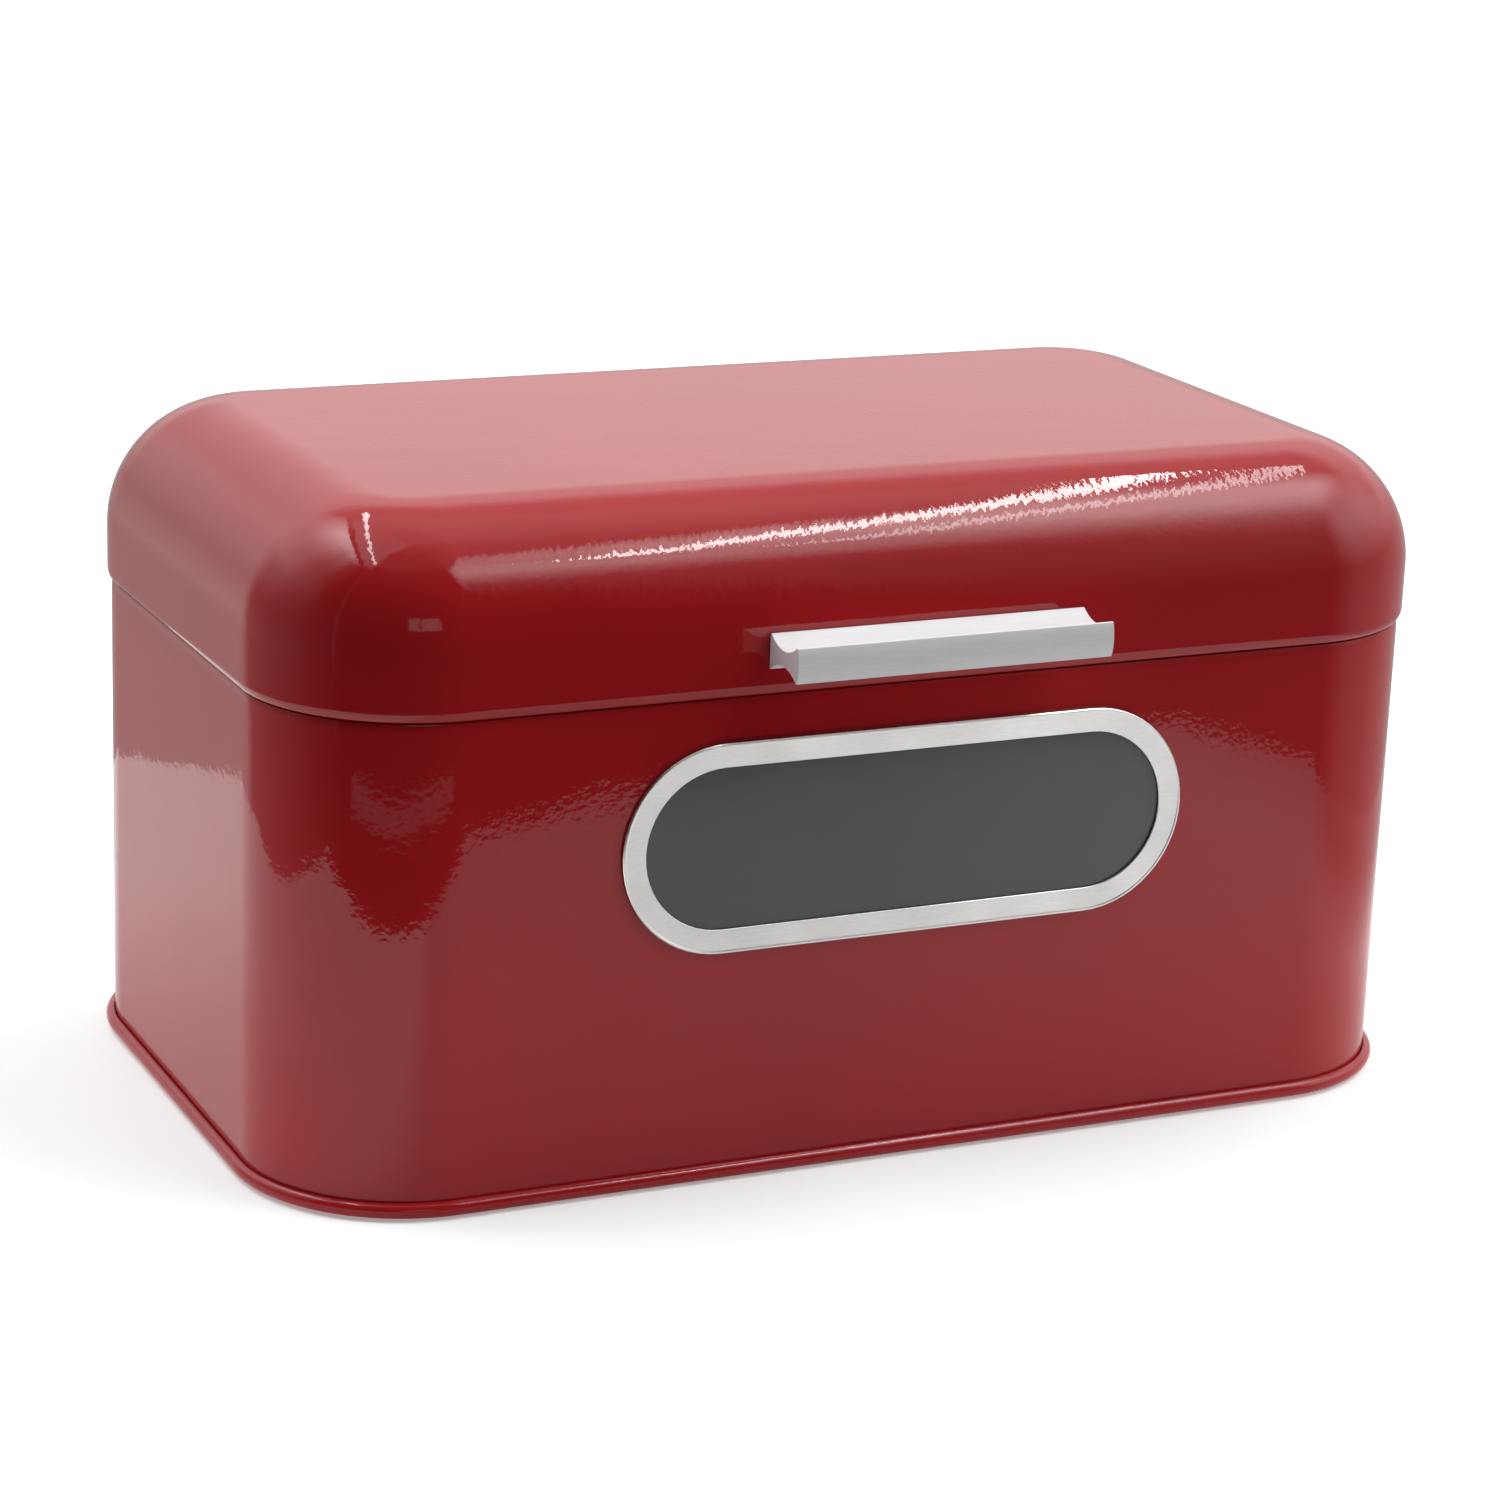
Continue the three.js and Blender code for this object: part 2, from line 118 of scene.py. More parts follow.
HINGE_AXIS = np.array(frame["joints"][0]["pos_m"]) / MM - (0, PLAN_Y, 0)
HINGE_X = 120.0
HINGE_WIDTH = 36.0
HINGE_THIRD = 12.0
HINGE_OFFSET = 3.1  # from the body wall's outer face back to the hinge's axis
OPEN_ANGLE = math.radians(100)
KNUCKLE = 2.4
KNUCKLE_CLEAR = 0.35
LEAF = 1.0
LEAF_CORNER = 3.0
EAR_THICKNESS = 1.2
LEAF_REACH = 18.0
RIVET_ACROSS = 11.0
RIVET_REACH = 12.0
VENT_RADIUS = 2.0
VENT_PITCH = 12.0
VENT_COLUMNS = 6
VENT_HEIGHTS = (128.0, 140.0)


# ---- Outlines: points with the unit normals that face out of the material, which is on the left ----
def unit(v):
    return v / np.linalg.norm(v)


def left(v):
    return np.array([-v[1], v[0]])


def rounded(corners, closed=True, step=15.0):
    """A polyline of (x, y) or (x, y, radius) corners, with the corners rounded to their radius."""
    points = [np.array(c[:2], float) for c in corners]
    places, normals = [], []
    for i, point in enumerate(points):
        before = unit(point - points[i - 1]) if closed or i else None
        after = unit(points[(i + 1) % len(points)] - point) if closed or i + 1 < len(points) else before
        before = after if before is None else before
        turn = math.atan2(before[0] * after[1] - before[1] * after[0], before @ after)
        radius = corners[i][2] if len(corners[i]) > 2 else 0
        if not radius or abs(turn) < 1e-4:
            places.append(point)
            normals.append(-left(unit(before + after)))
            continue
        side = math.copysign(1, turn)
        start = point - before * radius * math.tan(abs(turn) / 2)
        centre = start + side * radius * left(before)
        steps = max(2, math.ceil(abs(math.degrees(turn)) / step))
        for k in range(steps + 1):
            c, s = math.cos(turn * k / steps), math.sin(turn * k / steps)
            tangent = np.array([c * before[0] - s * before[1], s * before[0] + c * before[1]])
            places.append(centre - side * radius * left(tangent))
            normals.append(-left(tangent))
    return np.array(places), np.array(normals)


def reversed_outline(outline):
    """The same line as the edge of a hole: the material is on its other side."""
    points, normals = outline
    return points[::-1], -normals[::-1]


def shifted(outline, x, y):
    return outline[0] + (x, y), outline[1]


def circle(radius, segments):
    turn = np.arange(segments) * 2 * math.pi / segments
    normals = np.column_stack([np.cos(turn), np.sin(turn)])
    return normals * radius, normals


def stadium(width, height, arc=28, straight=12):
    radius = height / 2
    half = width / 2 - radius
    points, normals = [], []
    for side in (1, -1):
        for k in range(arc + 1):
            turn = math.pi * (k / arc - 0.5) + (0 if side > 0 else math.pi)
            normal = np.array([math.cos(turn), math.sin(turn)])
            points.append(np.array([side * half, 0]) + radius * normal)
            normals.append(normal)
        for k in range(1, straight):
            x = side * half * (1 - 2 * k / straight)
            points.append(np.array([x, side * radius]))
            normals.append(np.array([0, side]))
    return np.array(points), np.array(normals)


# ---- Shapes: points, their normals, and faces ----
class Shape:
    def __init__(self):
        self.points, self.normals, self.faces = [], [], []

    def add(self, point, normal):
        self.points.append(tuple(point))
        self.normals.append(tuple(normal))
        return len(self.points) - 1

    def face(self, *corners):
        distinct = list(dict.fromkeys(corners))
        if len(distinct) > 2:
            self.faces.append(distinct)

    def moved(self, matrix):
        out = Shape()
        turn = matrix.to_3x3()
        out.points = [tuple(matrix @ Vector(p)) for p in self.points]
        out.normals = [tuple(turn @ Vector(n)) for n in self.normals]
        out.faces = [list(f) for f in self.faces]
        return out

    def join(self, other):
        first = len(self.points)
        self.points += other.points
        self.normals += other.normals
        self.faces += [[first + i for i in f] for f in other.faces]
        return self


def frame_of(origin, u, v):
    """The matrix from a local frame with these U and V axes; W is U x V."""
    u, v = Vector(u), Vector(v)
    matrix = Matrix((u, v, u.cross(v))).transposed().to_4x4()
    return Matrix.Translation(origin) @ matrix


def sweep(shape, path, section, closed=True, skip=()):
    """Carries a section of (outset, height) points round a closed path.

    Returns the function that gives the number of the vertex at a place and row.
    """
    rows, count, first = len(section[0]), len(path[0]), len(shape.points)
    for p, n in zip(*path):
        for (out, height), (face_out, face_up) in zip(*section):
            point = (p[0] + out * n[0], p[1] + out * n[1], height)
            shape.add(point, (n[0] * face_out, n[1] * face_out, face_up))
    number = lambda i, j: first + (i % count) * rows + j % rows
    for i in range(count):
        for j in range(rows if closed else rows - 1):
            if (i, j) not in skip:
                shape.face(number(i, j), number(i + 1, j), number(i + 1, j + 1), number(i, j + 1))
    return number


def inside(places, lines):
    """Whether each place is inside the closed lines, by the even-odd rule."""
    starts = np.vstack(lines)
    ends = np.vstack([np.roll(line, -1, axis=0) for line in lines])
    x, y = places[:, :1], places[:, 1:]
    spans = (starts[:, 1] > y) != (ends[:, 1] > y)
    rise = np.where(starts[:, 1] == ends[:, 1], 1, ends[:, 1] - starts[:, 1])
    cross = starts[:, 0] + (y - starts[:, 1]) / rise * (ends[:, 0] - starts[:, 0])
    return (spans & (x < cross)).sum(axis=1) % 2 == 1


def fill(shape, loops, up, axes=(0, 1), spacing=None):
    """Fills the flat region between loops of vertex numbers, with inner points this far apart."""
    numbers = [i for loop in loops for i in loop]
    flat = lambda loop: np.array([[shape.points[i][axes[0]], shape.points[i][axes[1]]] for i in loop])
    lines = [flat(loop) for loop in loops]
    edges, start = [], 0
    for loop in loops:
        edges += [(start + k, start + (k + 1) % len(loop)) for k in range(len(loop))]
        start += len(loop)
    border = np.vstack(lines)
    if spacing:
        low, high = border.min(0), border.max(0)
        counts = np.maximum(np.round((high - low) / spacing).astype(int), 1)
        columns = np.linspace(low[0], high[0], counts[0] + 1)[1:-1]
        levels = np.linspace(low[1], high[1], counts[1] + 1)[1:-1]
        inner = np.array([(a, b) for b in levels for a in columns]).reshape(-1, 2)
        clear = np.linalg.norm(inner[:, None] - border[None], axis=2).min(1) > spacing * 0.45
        for a, b in inner[clear & inside(inner, lines)]:
            point = list(shape.points[loops[0][0]])
            point[axes[0]], point[axes[1]] = a, b
            numbers.append(shape.add(point, shape.normals[loops[0][0]]))
    places = [Vector((shape.points[i][axes[0]], shape.points[i][axes[1]])) for i in numbers]
    made = delaunay_2d_cdt(places, edges, [], 0, 1e-6)
    place_of = [tuple(p) for p in made[0]]
    origin = [numbers[o[0]] for o in made[3]]
    triangles = [list(t) for t in made[2]]
    centres = np.array([[sum(place_of[k][a] for k in t) / 3 for a in (0, 1)] for t in triangles])
    for triangle, kept in zip(triangles, inside(centres, lines)):
        (ax, ay), (bx, by), (cx, cy) = [place_of[k] for k in triangle]
        area = (bx - ax) * (cy - ay) - (by - ay) * (cx - ax)
        if not kept or abs(area) < 1e-9:
            continue
        corners = [origin[k] for k in triangle]
        shape.face(*(corners if (area > 0) == up else corners[::-1]))


def edge_section(low, high, edge, step=30.0):
    """The side of a plate between two heights, with rounded edges."""
    corners = [(-2 * edge, low), (0, low, edge), (0, high, edge), (-2 * edge, high)]
    points, normals = rounded(corners, closed=False, step=step)
    return points[1:-1], normals[1:-1]


def plate(outlines, low, high, edge=0.2, spacing=None):
    """A flat plate between two heights. The first outline is its rim and the others are holes."""
    shape = Shape()
    section = edge_section(low, high, edge)
    rims = [outlines[0]] + [reversed_outline(o) for o in outlines[1:]]
    swept = [(sweep(shape, rim, section, closed=False), len(rim[0])) for rim in rims]
    last = len(section[0]) - 1
    fill(shape, [[number(i, 0) for i in range(n)] for number, n in swept], False, spacing=spacing)
    fill(shape, [[number(i, last) for i in range(n)] for number, n in swept], True, spacing=spacing)
    return shape


def turned(corners, segments=32, step=30.0):
    """Turns a section of (radius, height[, round]) corners about its axis, from the lower end up."""
    shape = Shape()
    points, normals = rounded(corners, closed=False, step=step)
    rings = []
    for (radius, height), (face_out, face_up) in zip(points, normals):
        if radius < 1e-6:
            rings.append([shape.add((0, 0, height), (0, 0, math.copysign(1, face_up)))] * segments)
            continue
        ring = []
        for k in range(segments):
            c, s = math.cos(2 * math.pi * k / segments), math.sin(2 * math.pi * k / segments)
            ring.append(shape.add((radius * c, radius * s, height), (c * face_out, s * face_out, face_up)))
        rings.append(ring)
    for lower, upper in zip(rings, rings[1:]):
        for k in range(segments):
            n = (k + 1) % segments
            shape.face(lower[k], lower[n], upper[n], upper[k])
    return shape


# ---- The plan: a rounded rectangle, anticlockwise from the front left corner ----
ARC_STEPS = 24
LONG_STEPS = 18
SHORT_STEPS = 9


def plan_path():
    mid_x, mid_y = HALF_X - CORNER, HALF_Y - CORNER
    points, normals, parts = [], [], {}

    def corner(name, side_x, side_y, start):
        parts[name] = range(len(points), len(points) + ARC_STEPS + 1)
        for k in range(ARC_STEPS + 1):
            turn = math.radians(start + 90 * k / ARC_STEPS)
            normal = np.array([math.cos(turn), math.sin(turn)])
            points.append(np.array([side_x * mid_x, side_y * mid_y]) + CORNER * normal)
            normals.append(normal)

    def side(name, a, b, normal, steps):
        parts[name] = range(len(points), len(points) + steps - 1)
        for k in range(1, steps):
            points.append(np.array(a) + (np.array(b) - np.array(a)) * k / steps)
            normals.append(np.array(normal, float))

    corner("front_left", -1, -1, 180)
    side("front", (-mid_x, -HALF_Y), (mid_x, -HALF_Y), (0, -1), LONG_STEPS)
    corner("front_right", 1, -1, 270)
    side("right", (HALF_X, -mid_y), (HALF_X, mid_y), (1, 0), SHORT_STEPS)
    corner("back_right", 1, 1, 0)
    side("back", (mid_x, HALF_Y), (-mid_x, HALF_Y), (0, 1), LONG_STEPS)
    corner("back_left", -1, 1, 90)
    side("left", (-HALF_X, mid_y), (-HALF_X, -mid_y), (-1, 0), SHORT_STEPS)
    return (np.array(points), np.array(normals)), parts


PLAN, PLAN_PARTS = plan_path()


def plan_cap(shape, number, row, up):
    """Closes a swept plan ring with a grid of faces at one row's height."""
    parts = {name: list(part) for name, part in PLAN_PARTS.items()}
    front = [parts["front_left"][-1]] + parts["front"] + [parts["front_right"][0]]
    back = ([parts["back_right"][-1]] + parts["back"] + [parts["back_left"][0]])[::-1]
    lefts = parts["front_left"][-2::-1] + parts["left"][::-1] + parts["back_left"][:0:-1]
    rights = parts["front_right"][1:] + parts["right"] + parts["back_right"][:-1]
    columns = [shape.points[number(i, row)][0] for i in front]
    height = shape.points[number(0, row)][2]
    grid = [[number(i, row) for i in [front[0]] + front + [front[-1]]]]
    for i, j in zip(lefts, rights):
        y = shape.points[number(i, row)][1]
        inner = [shape.add((x, y, height), (0, 0, 1 if up else -1)) for x in columns]
        grid.append([number(i, row)] + inner + [number(j, row)])
    grid.append([number(i, row) for i in [back[0]] + back + [back[-1]]])
    for near, far in zip(grid, grid[1:]):
        for k in range(len(near) - 1):
            corners = (near[k], near[k + 1], far[k + 1], far[k])
            shape.face(*(corners if up else corners[::-1]))


def plan_pan(section):
    """A pressed sheet: the section starts under its flat middle and ends on top of it."""
    shape = Shape()
    number = sweep(shape, PLAN, section, closed=False)
    plan_cap(shape, number, 0, up=False)
    plan_cap(shape, number, len(section[0]) - 1, up=True)
    return shape


# ---- Materials ----
FINISH = "_finish"


def new_material(slot):
    """A material named after the record's slot that it finishes."""
    material = bpy.data.materials.new(slot + FINISH)
    material.use_nodes = True
    tree = material.node_tree
    shader = tree.nodes["Principled BSDF"]
    return material, tree, shader


def add_node(tree, kind, inputs=(), **settings):
    node = tree.nodes.new(kind)
    for key, value in settings.items():
        setattr(node, key, value)
    for key, value in dict(inputs).items():
        if isinstance(value, bpy.types.NodeSocket):
            tree.links.new(value, node.inputs[key])
        else:
            node.inputs[key].default_value = value
    return node


def place_of_surface(tree, scale=(1, 1, 1)):
    """Object coordinates, stretched."""
    where = add_node(tree, "ShaderNodeTexCoord")
    inputs = {"Vector": where.outputs["Object"], "Scale": scale}
    return add_node(tree, "ShaderNodeMapping", inputs).outputs[0]


def noise(tree, where, scale, detail=2.0, rough=0.5):
    inputs = {"Vector": where, "Scale": scale, "Detail": detail, "Roughness": rough}
    return add_node(tree, "ShaderNodeTexNoise", inputs).outputs[0]


def ranged(tree, value, low, high, from_low=0.3, from_high=0.7):
    inputs = {"Value": value, "From Min": from_low, "From Max": from_high, "To Min": low, "To Max": high}
    return add_node(tree, "ShaderNodeMapRange", inputs).outputs[0]


def mixed(tree, factor, a, b):
    node = add_node(tree, "ShaderNodeMix", {0: factor}, data_type="RGBA")
    node.inputs[6].default_value = (*a, 1)
    node.inputs[7].default_value = (*b, 1)
    return node.outputs[2]


def bumped(tree, height, distance, normal=None):
    inputs = {"Height": height, "Distance": distance, "Strength": 1.0}
    if normal is not None:
        inputs["Normal"] = normal
    return add_node(tree, "ShaderNodeBump", inputs).outputs[0]


def enamel_material():
    """Gloss red stove enamel on pressed steel, with fine orange peel and a slight wave in the sheet."""
    material, tree, shader = new_material("red_enamel")
    where = place_of_surface(tree)
    tint = ranged(tree, noise(tree, where, 9.0, 3.0), 0, 1)
    colour = mixed(tree, tint, (0.395, 0.0125, 0.0160), (0.435, 0.0150, 0.0185))
    tree.links.new(colour, shader.inputs["Base Color"])
    rough = ranged(tree, noise(tree, where, 60.0, 4.0), 0.032, 0.048)
    tree.links.new(rough, shader.inputs["Roughness"])
    peel = bumped(tree, noise(tree, where, 420.0, 1.5), 3.2e-5)
    wave = bumped(tree, noise(tree, where, 34.0, 1.0), 1.2e-4, peel)
    tree.links.new(wave, shader.inputs["Normal"])
    shader.inputs["IOR"].default_value = 1.44
    return material


def metal_material(name, colour, rough, stretch, grain, depth, metallic=1.0):
    """A metal with fine drawn or brushed lines along its longest way; anodising makes it less metallic."""
    material, tree, shader = new_material(name)
    where = place_of_surface(tree, stretch)
    lines = noise(tree, where, grain, 4.0, 0.6)
    patches = noise(tree, place_of_surface(tree), 45.0, 3.0)
    dark = tuple(0.9 * c for c in colour)
    tree.links.new(mixed(tree, ranged(tree, lines, 0, 1), dark, colour), shader.inputs["Base Color"])
    tree.links.new(ranged(tree, patches, rough * 0.85, rough * 1.15), shader.inputs["Roughness"])
    tree.links.new(bumped(tree, lines, depth), shader.inputs["Normal"])
    shader.inputs["Metallic"].default_value = metallic
    return material


def smoke_material():
    """Smoke-tinted acrylic: dark, faintly clouded, with a trace of dust."""
    material, tree, shader = new_material("smoke_acrylic")
    where = place_of_surface(tree)
    haze = ranged(tree, noise(tree, where, 25.0, 4.0), 0, 1)
    colour = mixed(tree, haze, (0.115, 0.100, 0.117), (0.123, 0.108, 0.125))
    tree.links.new(colour, shader.inputs["Base Color"])
    tree.links.new(ranged(tree, noise(tree, where, 120.0, 3.0), 0.10, 0.16), shader.inputs["Roughness"])
    shader.inputs["IOR"].default_value = 1.49
    shader.inputs["Transmission Weight"].default_value = 0.15
    return material


def soft_material(name, colour, rough, grain, depth):
    """Rubber or foam: dark, matt and finely pitted."""
    material, tree, shader = new_material(name)
    where = place_of_surface(tree)
    cells = noise(tree, where, grain, 5.0, 0.7)
    lighter = tuple(1.5 * c for c in colour)
    tree.links.new(mixed(tree, ranged(tree, cells, 0, 1), colour, lighter), shader.inputs["Base Color"])
    tree.links.new(ranged(tree, cells, rough * 0.9, rough), shader.inputs["Roughness"])
    tree.links.new(bumped(tree, cells, depth), shader.inputs["Normal"])
    return material


ENAMEL = enamel_material()
STEEL = metal_material("window_steel", (0.97, 0.965, 0.94), 0.33, (1, 1, 14), 260.0, 3.0e-6)
ALUMINIUM = metal_material("brushed_aluminium", (0.92, 0.92, 0.93), 0.55, (1, 30, 30), 130.0, 5.0e-6, 0.15)
ZINC = metal_material("zinc_plate", (0.66, 0.655, 0.64), 0.30, (1, 1, 1), 420.0, 1.2e-5)
SMOKE = smoke_material()
RUBBER = soft_material("foot_rubber", (0.012, 0.012, 0.012), 0.8, 900.0, 4.0e-5)
FOAM = soft_material("foam_rubber", (0.02, 0.02, 0.024), 0.95, 1400.0, 1.2e-4)


def piece(name, shape, body, material, *nodes):
    """Makes the shape, given in the plan frame, a piece that rides on a body and stands for CAD nodes."""
    shape = shape.moved(TO_ROW)
    mesh = bpy.data.meshes.new(name)
    mesh.from_pydata([tuple(c * MM for c in p) for p in shape.points], [], shape.faces)
    mesh.polygons.foreach_set("use_smooth", [True] * len(mesh.polygons))
    mesh.normals_split_custom_set_from_vertices([Vector(n).normalized() for n in shape.normals])
    mesh.materials.append(material)
    obj = bpy.data.objects.new(name, mesh)
    bpy.context.scene.collection.objects.link(obj)
    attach(obj, body)
    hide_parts(*nodes)


# ---- Body wall, with the window's hole in front and the vents behind ----
def pierce(shape, number, columns, outer_rows, inner_rows, holes, forward):
    """Fills the flat panel left out of a swept wall, on both faces, around holes of (x, z) points."""
    faces = []
    for rows, up in ((outer_rows, forward), (inner_rows[::-1], not forward)):
        bottom = [number(i, rows[0]) for i in columns]
        top = [number(i, rows[-1]) for i in columns[::-1]]
        far = [number(columns[-1], j) for j in rows[1:-1]]
        near = [number(columns[0], j) for j in rows[-2:0:-1]]
        faces.append(([bottom + far + top + near], up))
    y_outer = shape.points[number(columns[0], outer_rows[0])][1]
    toward = -1 if forward else 1
    for hole in holes:
        section = edge_section(-SHEET, 0, 0.2)
        tube = Shape()
        rim = sweep(tube, reversed_outline(hole), section, closed=False)
        first = len(shape.points)
        turn = frame_of((0, y_outer, 0), (1, 0, 0), (0, 0, 1))
        if not forward:
            turn = frame_of((0, y_outer, 0), (-1, 0, 0), (0, 0, 1))
        shape.join(tube.moved(turn))
        count, last = len(hole[0]), len(section[0]) - 1
        faces[0][0].append([first + rim(i, last) for i in range(count)])
        faces[1][0].append([first + rim(i, 0) for i in range(count)])
    for loops, up in faces:
        fill(shape, loops, up, axes=(0, 2), spacing=12.0)


def body_shell():
    low, high = WALL_LOW[2], WALL_HIGH[2]
    rise = [low + (high - low) * k / 9 for k in range(1, 9)]
    curl_round = (WALL_CURL_HEIGHT ** 2 / WALL_CURL + WALL_CURL) / 2
    turns = [math.asin(WALL_CURL_HEIGHT / curl_round) * k / 5 for k in range(5)]
    curl_start = high - WALL_CURL_HEIGHT
    curl = [(curl_round * (math.cos(t) - 1), curl_start + curl_round * math.sin(t)) for t in turns]
    corners = [(0, low, 0.25)] + [(0, z) for z in rise] + curl + [(-WALL_CURL, high, 0.2)]
    corners += [(-WALL_CURL - SHEET, high, 0.2)] + [(out - SHEET, z) for out, z in curl[::-1]]
    corners += [(-SHEET, z) for z in rise[::-1]] + [(-SHEET, low, 0.25)]
    section = rounded(corners, step=30.0)
    faces_out = section[1][:, 0]
    outer = [j for j in range(len(faces_out)) if faces_out[j] > 0.9999]
    inner = [j for j in range(len(faces_out)) if faces_out[j] < -0.9999]
    parts = {name: list(part) for name, part in PLAN_PARTS.items()}
    front = [parts["front_left"][-1]] + parts["front"] + [parts["front_right"][0]]
    back = [parts["back_right"][-1]] + parts["back"] + [parts["back_left"][0]]
    flat_rows = outer[:-1] + inner[:-1]
    skip = {(i, j) for part in (front, back) for i in part[:-1] for j in flat_rows}
    shape = Shape()
    number = sweep(shape, PLAN, section, skip=skip)
    window = shifted(stadium(*(FRAME_SIZE - 2 * CUTOUT_INSET)), 0, WINDOW_Z)
    pierce(shape, number, front, outer, inner, [window], forward=True)
    vents = [shifted(circle(VENT_RADIUS, 20), (column - (VENT_COLUMNS - 1) / 2) * VENT_PITCH, z)
             for z in VENT_HEIGHTS for column in range(VENT_COLUMNS)]
    pierce(shape, number, back, outer, inner, vents, forward=False)
    return shape


piece("body_wall", body_shell(), "body", ENAMEL, "body_shell")


# ---- Base pan: its edge hooks round the wall as a bead ----
def base_panel():
    leg, thick = -SHEET - CLEAR, PAN_SHEET
    low = PAN_LOW[2]
    corners = [(-12, PAN_TOP - thick), (-6, PAN_TOP - thick)]
    corners += [(leg - thick, PAN_TOP - thick, 0.3), (leg - thick, low + 0.4, 0.3), (leg - 0.2, low, 0.4)]
    middle = BEAD_REACH - BEAD_RADIUS
    for k in range(17):
        turn = math.pi * (k / 16 - 0.5)
        corners.append((middle + BEAD_RADIUS * math.cos(turn), low + BEAD_RADIUS * (1 + math.sin(turn))))
    corners += [(CLEAR, low + 2 * BEAD_RADIUS - 0.2, 0.12), (CLEAR, low + thick, 0.1)]
    corners += [(leg, low + thick, 0.1), (leg, PAN_TOP, 0.4), (-6, PAN_TOP), (-12, PAN_TOP)]
    return plan_pan(rounded(corners, closed=False))


piece("base_pan", base_panel(), "body", ENAMEL, "base_panel")


# ---- Collar: a joggled ring inside the wall that stands up into the lid ----
def inner_collar():
    low = -SHEET - CLEAR
    high = low - 1.4
    bottom, top = COLLAR_LOW[2], COLLAR_HIGH[2]
    joggle = [WALL_HIGH[2] - WALL_CURL_HEIGHT - 0.7, WALL_HIGH[2] - 1.6]
    outer = [(low, bottom, 0.25), (low, joggle[0], 0.8), (high, joggle[1], 0.8), (high, top, 0.3)]
    inner = [(high - SHEET, top, 0.3), (high - SHEET, joggle[1], 0.8)]
    inner += [(low - SHEET, joggle[0], 0.8), (low - SHEET, bottom, 0.25)]
    shape = Shape()
    sweep(shape, PLAN, rounded(outer + inner))
    return shape


piece("collar", inner_collar(), "body", ENAMEL, "inner_collar")


# ---- Lid ----
def lid_shell():
    low, top = LID_LOW[2], LID_HIGH[2]
    corner_z = top - LID_EDGE
    middle = LID_OVERHANG - LID_EDGE
    full = math.acos(1 - LID_OVERHANG / TUCK_ROUND)

    def tuck(depth, turns):
        """Points of the inward curve at its lower edge, by their share of the whole turn."""
        radius = TUCK_ROUND - depth
        out, height = LID_OVERHANG - TUCK_ROUND, low + TUCK_ROUND * math.sin(full)
        return [(out + radius * math.cos(t * full), height - radius * math.sin(t * full)) for t in turns]

    def arc(depth, turns):
        radius = LID_EDGE - depth
        return [(middle + radius * math.cos(t), corner_z + radius * math.sin(t)) for t in turns]

    turns = [math.pi / 2 * k / 32 for k in range(33)]
    side = [(LID_OVERHANG, z) for z in (low + 5, low + 8, low + 12, low + 15)]
    corners = [(middle - 2, top - SHEET)] + arc(SHEET, turns[::-1])
    corners += [(out - SHEET, z) for out, z in side[:0:-1]]
    corners += [(LID_OVERHANG - SHEET, low + HEM, 0.2), (LID_OVERHANG - 2 * SHEET, low + HEM, 0.3)]
    corners += tuck(2 * SHEET, (0, 0.3, 0.6))
    edge_out, edge_z = tuck(SHEET, (0.93,))[0]
    for k in range(1, 12):
        turn = math.pi * (1 + k / 12) - full * 0.93
        corners.append((edge_out + SHEET * math.cos(turn), edge_z + SHEET * math.sin(turn)))
    corners += tuck(0, (0.93, 0.8, 0.65, 0.5, 0.35, 0.2, 0.1, 0)) + side
    corners += arc(0, turns) + [(middle - 2, top)]
    return plan_pan(rounded(corners, closed=False))


piece("lid", lid_shell(), "lid", ENAMEL, "lid_shell")


# ---- Handle: an extruded bar with a finger groove above and below its waist ----
def handle_bar():
    half, middle = BAR_TALL / 2, BAR_REACH / 2
    chord = BAR_REACH - 2 * BAR_LIP
    radius = chord ** 2 / (8 * BAR_SCOOP) + BAR_SCOOP / 2
    rise = half - BAR_SCOOP + radius
    reach = math.asin(chord / 2 / radius)
    crown = half ** 2 / (2 * BAR_BULGE) + BAR_BULGE / 2
    spread = math.asin(half / crown)
    corners = [(0, half, 0.3), (0, -half, 0.3), (BAR_LIP, -half, 0.25)]
    for k in range(1, 16):
        turn = math.pi / 2 + reach * (1 - 2 * k / 16)
        corners.append((middle + radius * math.cos(turn), -rise + radius * math.sin(turn)))
    corners += [(BAR_REACH - BAR_LIP, -half, 0.25), (BAR_REACH, -half, 0.35)]
    for k in range(1, 12):
        turn = spread * (2 * k / 12 - 1)
        corners.append((BAR_REACH + BAR_BULGE + crown * (math.cos(turn) - 1), crown * math.sin(turn)))
    corners += [(BAR_REACH, half, 0.35), (BAR_REACH - BAR_LIP, half, 0.25)]
    for k in range(1, 16):
        turn = -math.pi / 2 + reach * (1 - 2 * k / 16)
        corners.append((middle + radius * math.cos(turn), rise + radius * math.sin(turn)))
    corners += [(BAR_LIP, half, 0.25)]
    bar = plate([rounded(corners)], -BAR_LENGTH / 2, BAR_LENGTH / 2, edge=0.18)
    return bar.moved(frame_of((BAR_CENTRE, -LID_BACK - CLEAR, BAR_Z), (0, -1, 0), (0, 0, 1)))


piece("handle", handle_bar(), "lid", ALUMINIUM, "handle_bar")


# ---- Window ----
WINDOW = frame_of((0, -HALF_Y, WINDOW_Z), (1, 0, 0), (0, 0, 1))
RING = stadium(*FRAME_SIZE)
RETAINER_FRONT = -PANE_THICKNESS - CLEAR
RETAINER_BACK = RETAINER_FRONT - RETAINER_THICKNESS
TABS = [(x, side) for x in (-60, 0, 60) for side in (1, -1)]
TABS += [(side * FRAME_SIZE[0] / 2, 0) for side in (1, -1)]


def inset_stadium(inset):
    return stadium(FRAME_SIZE[0] - 2 * inset, FRAME_SIZE[1] - 2 * inset)


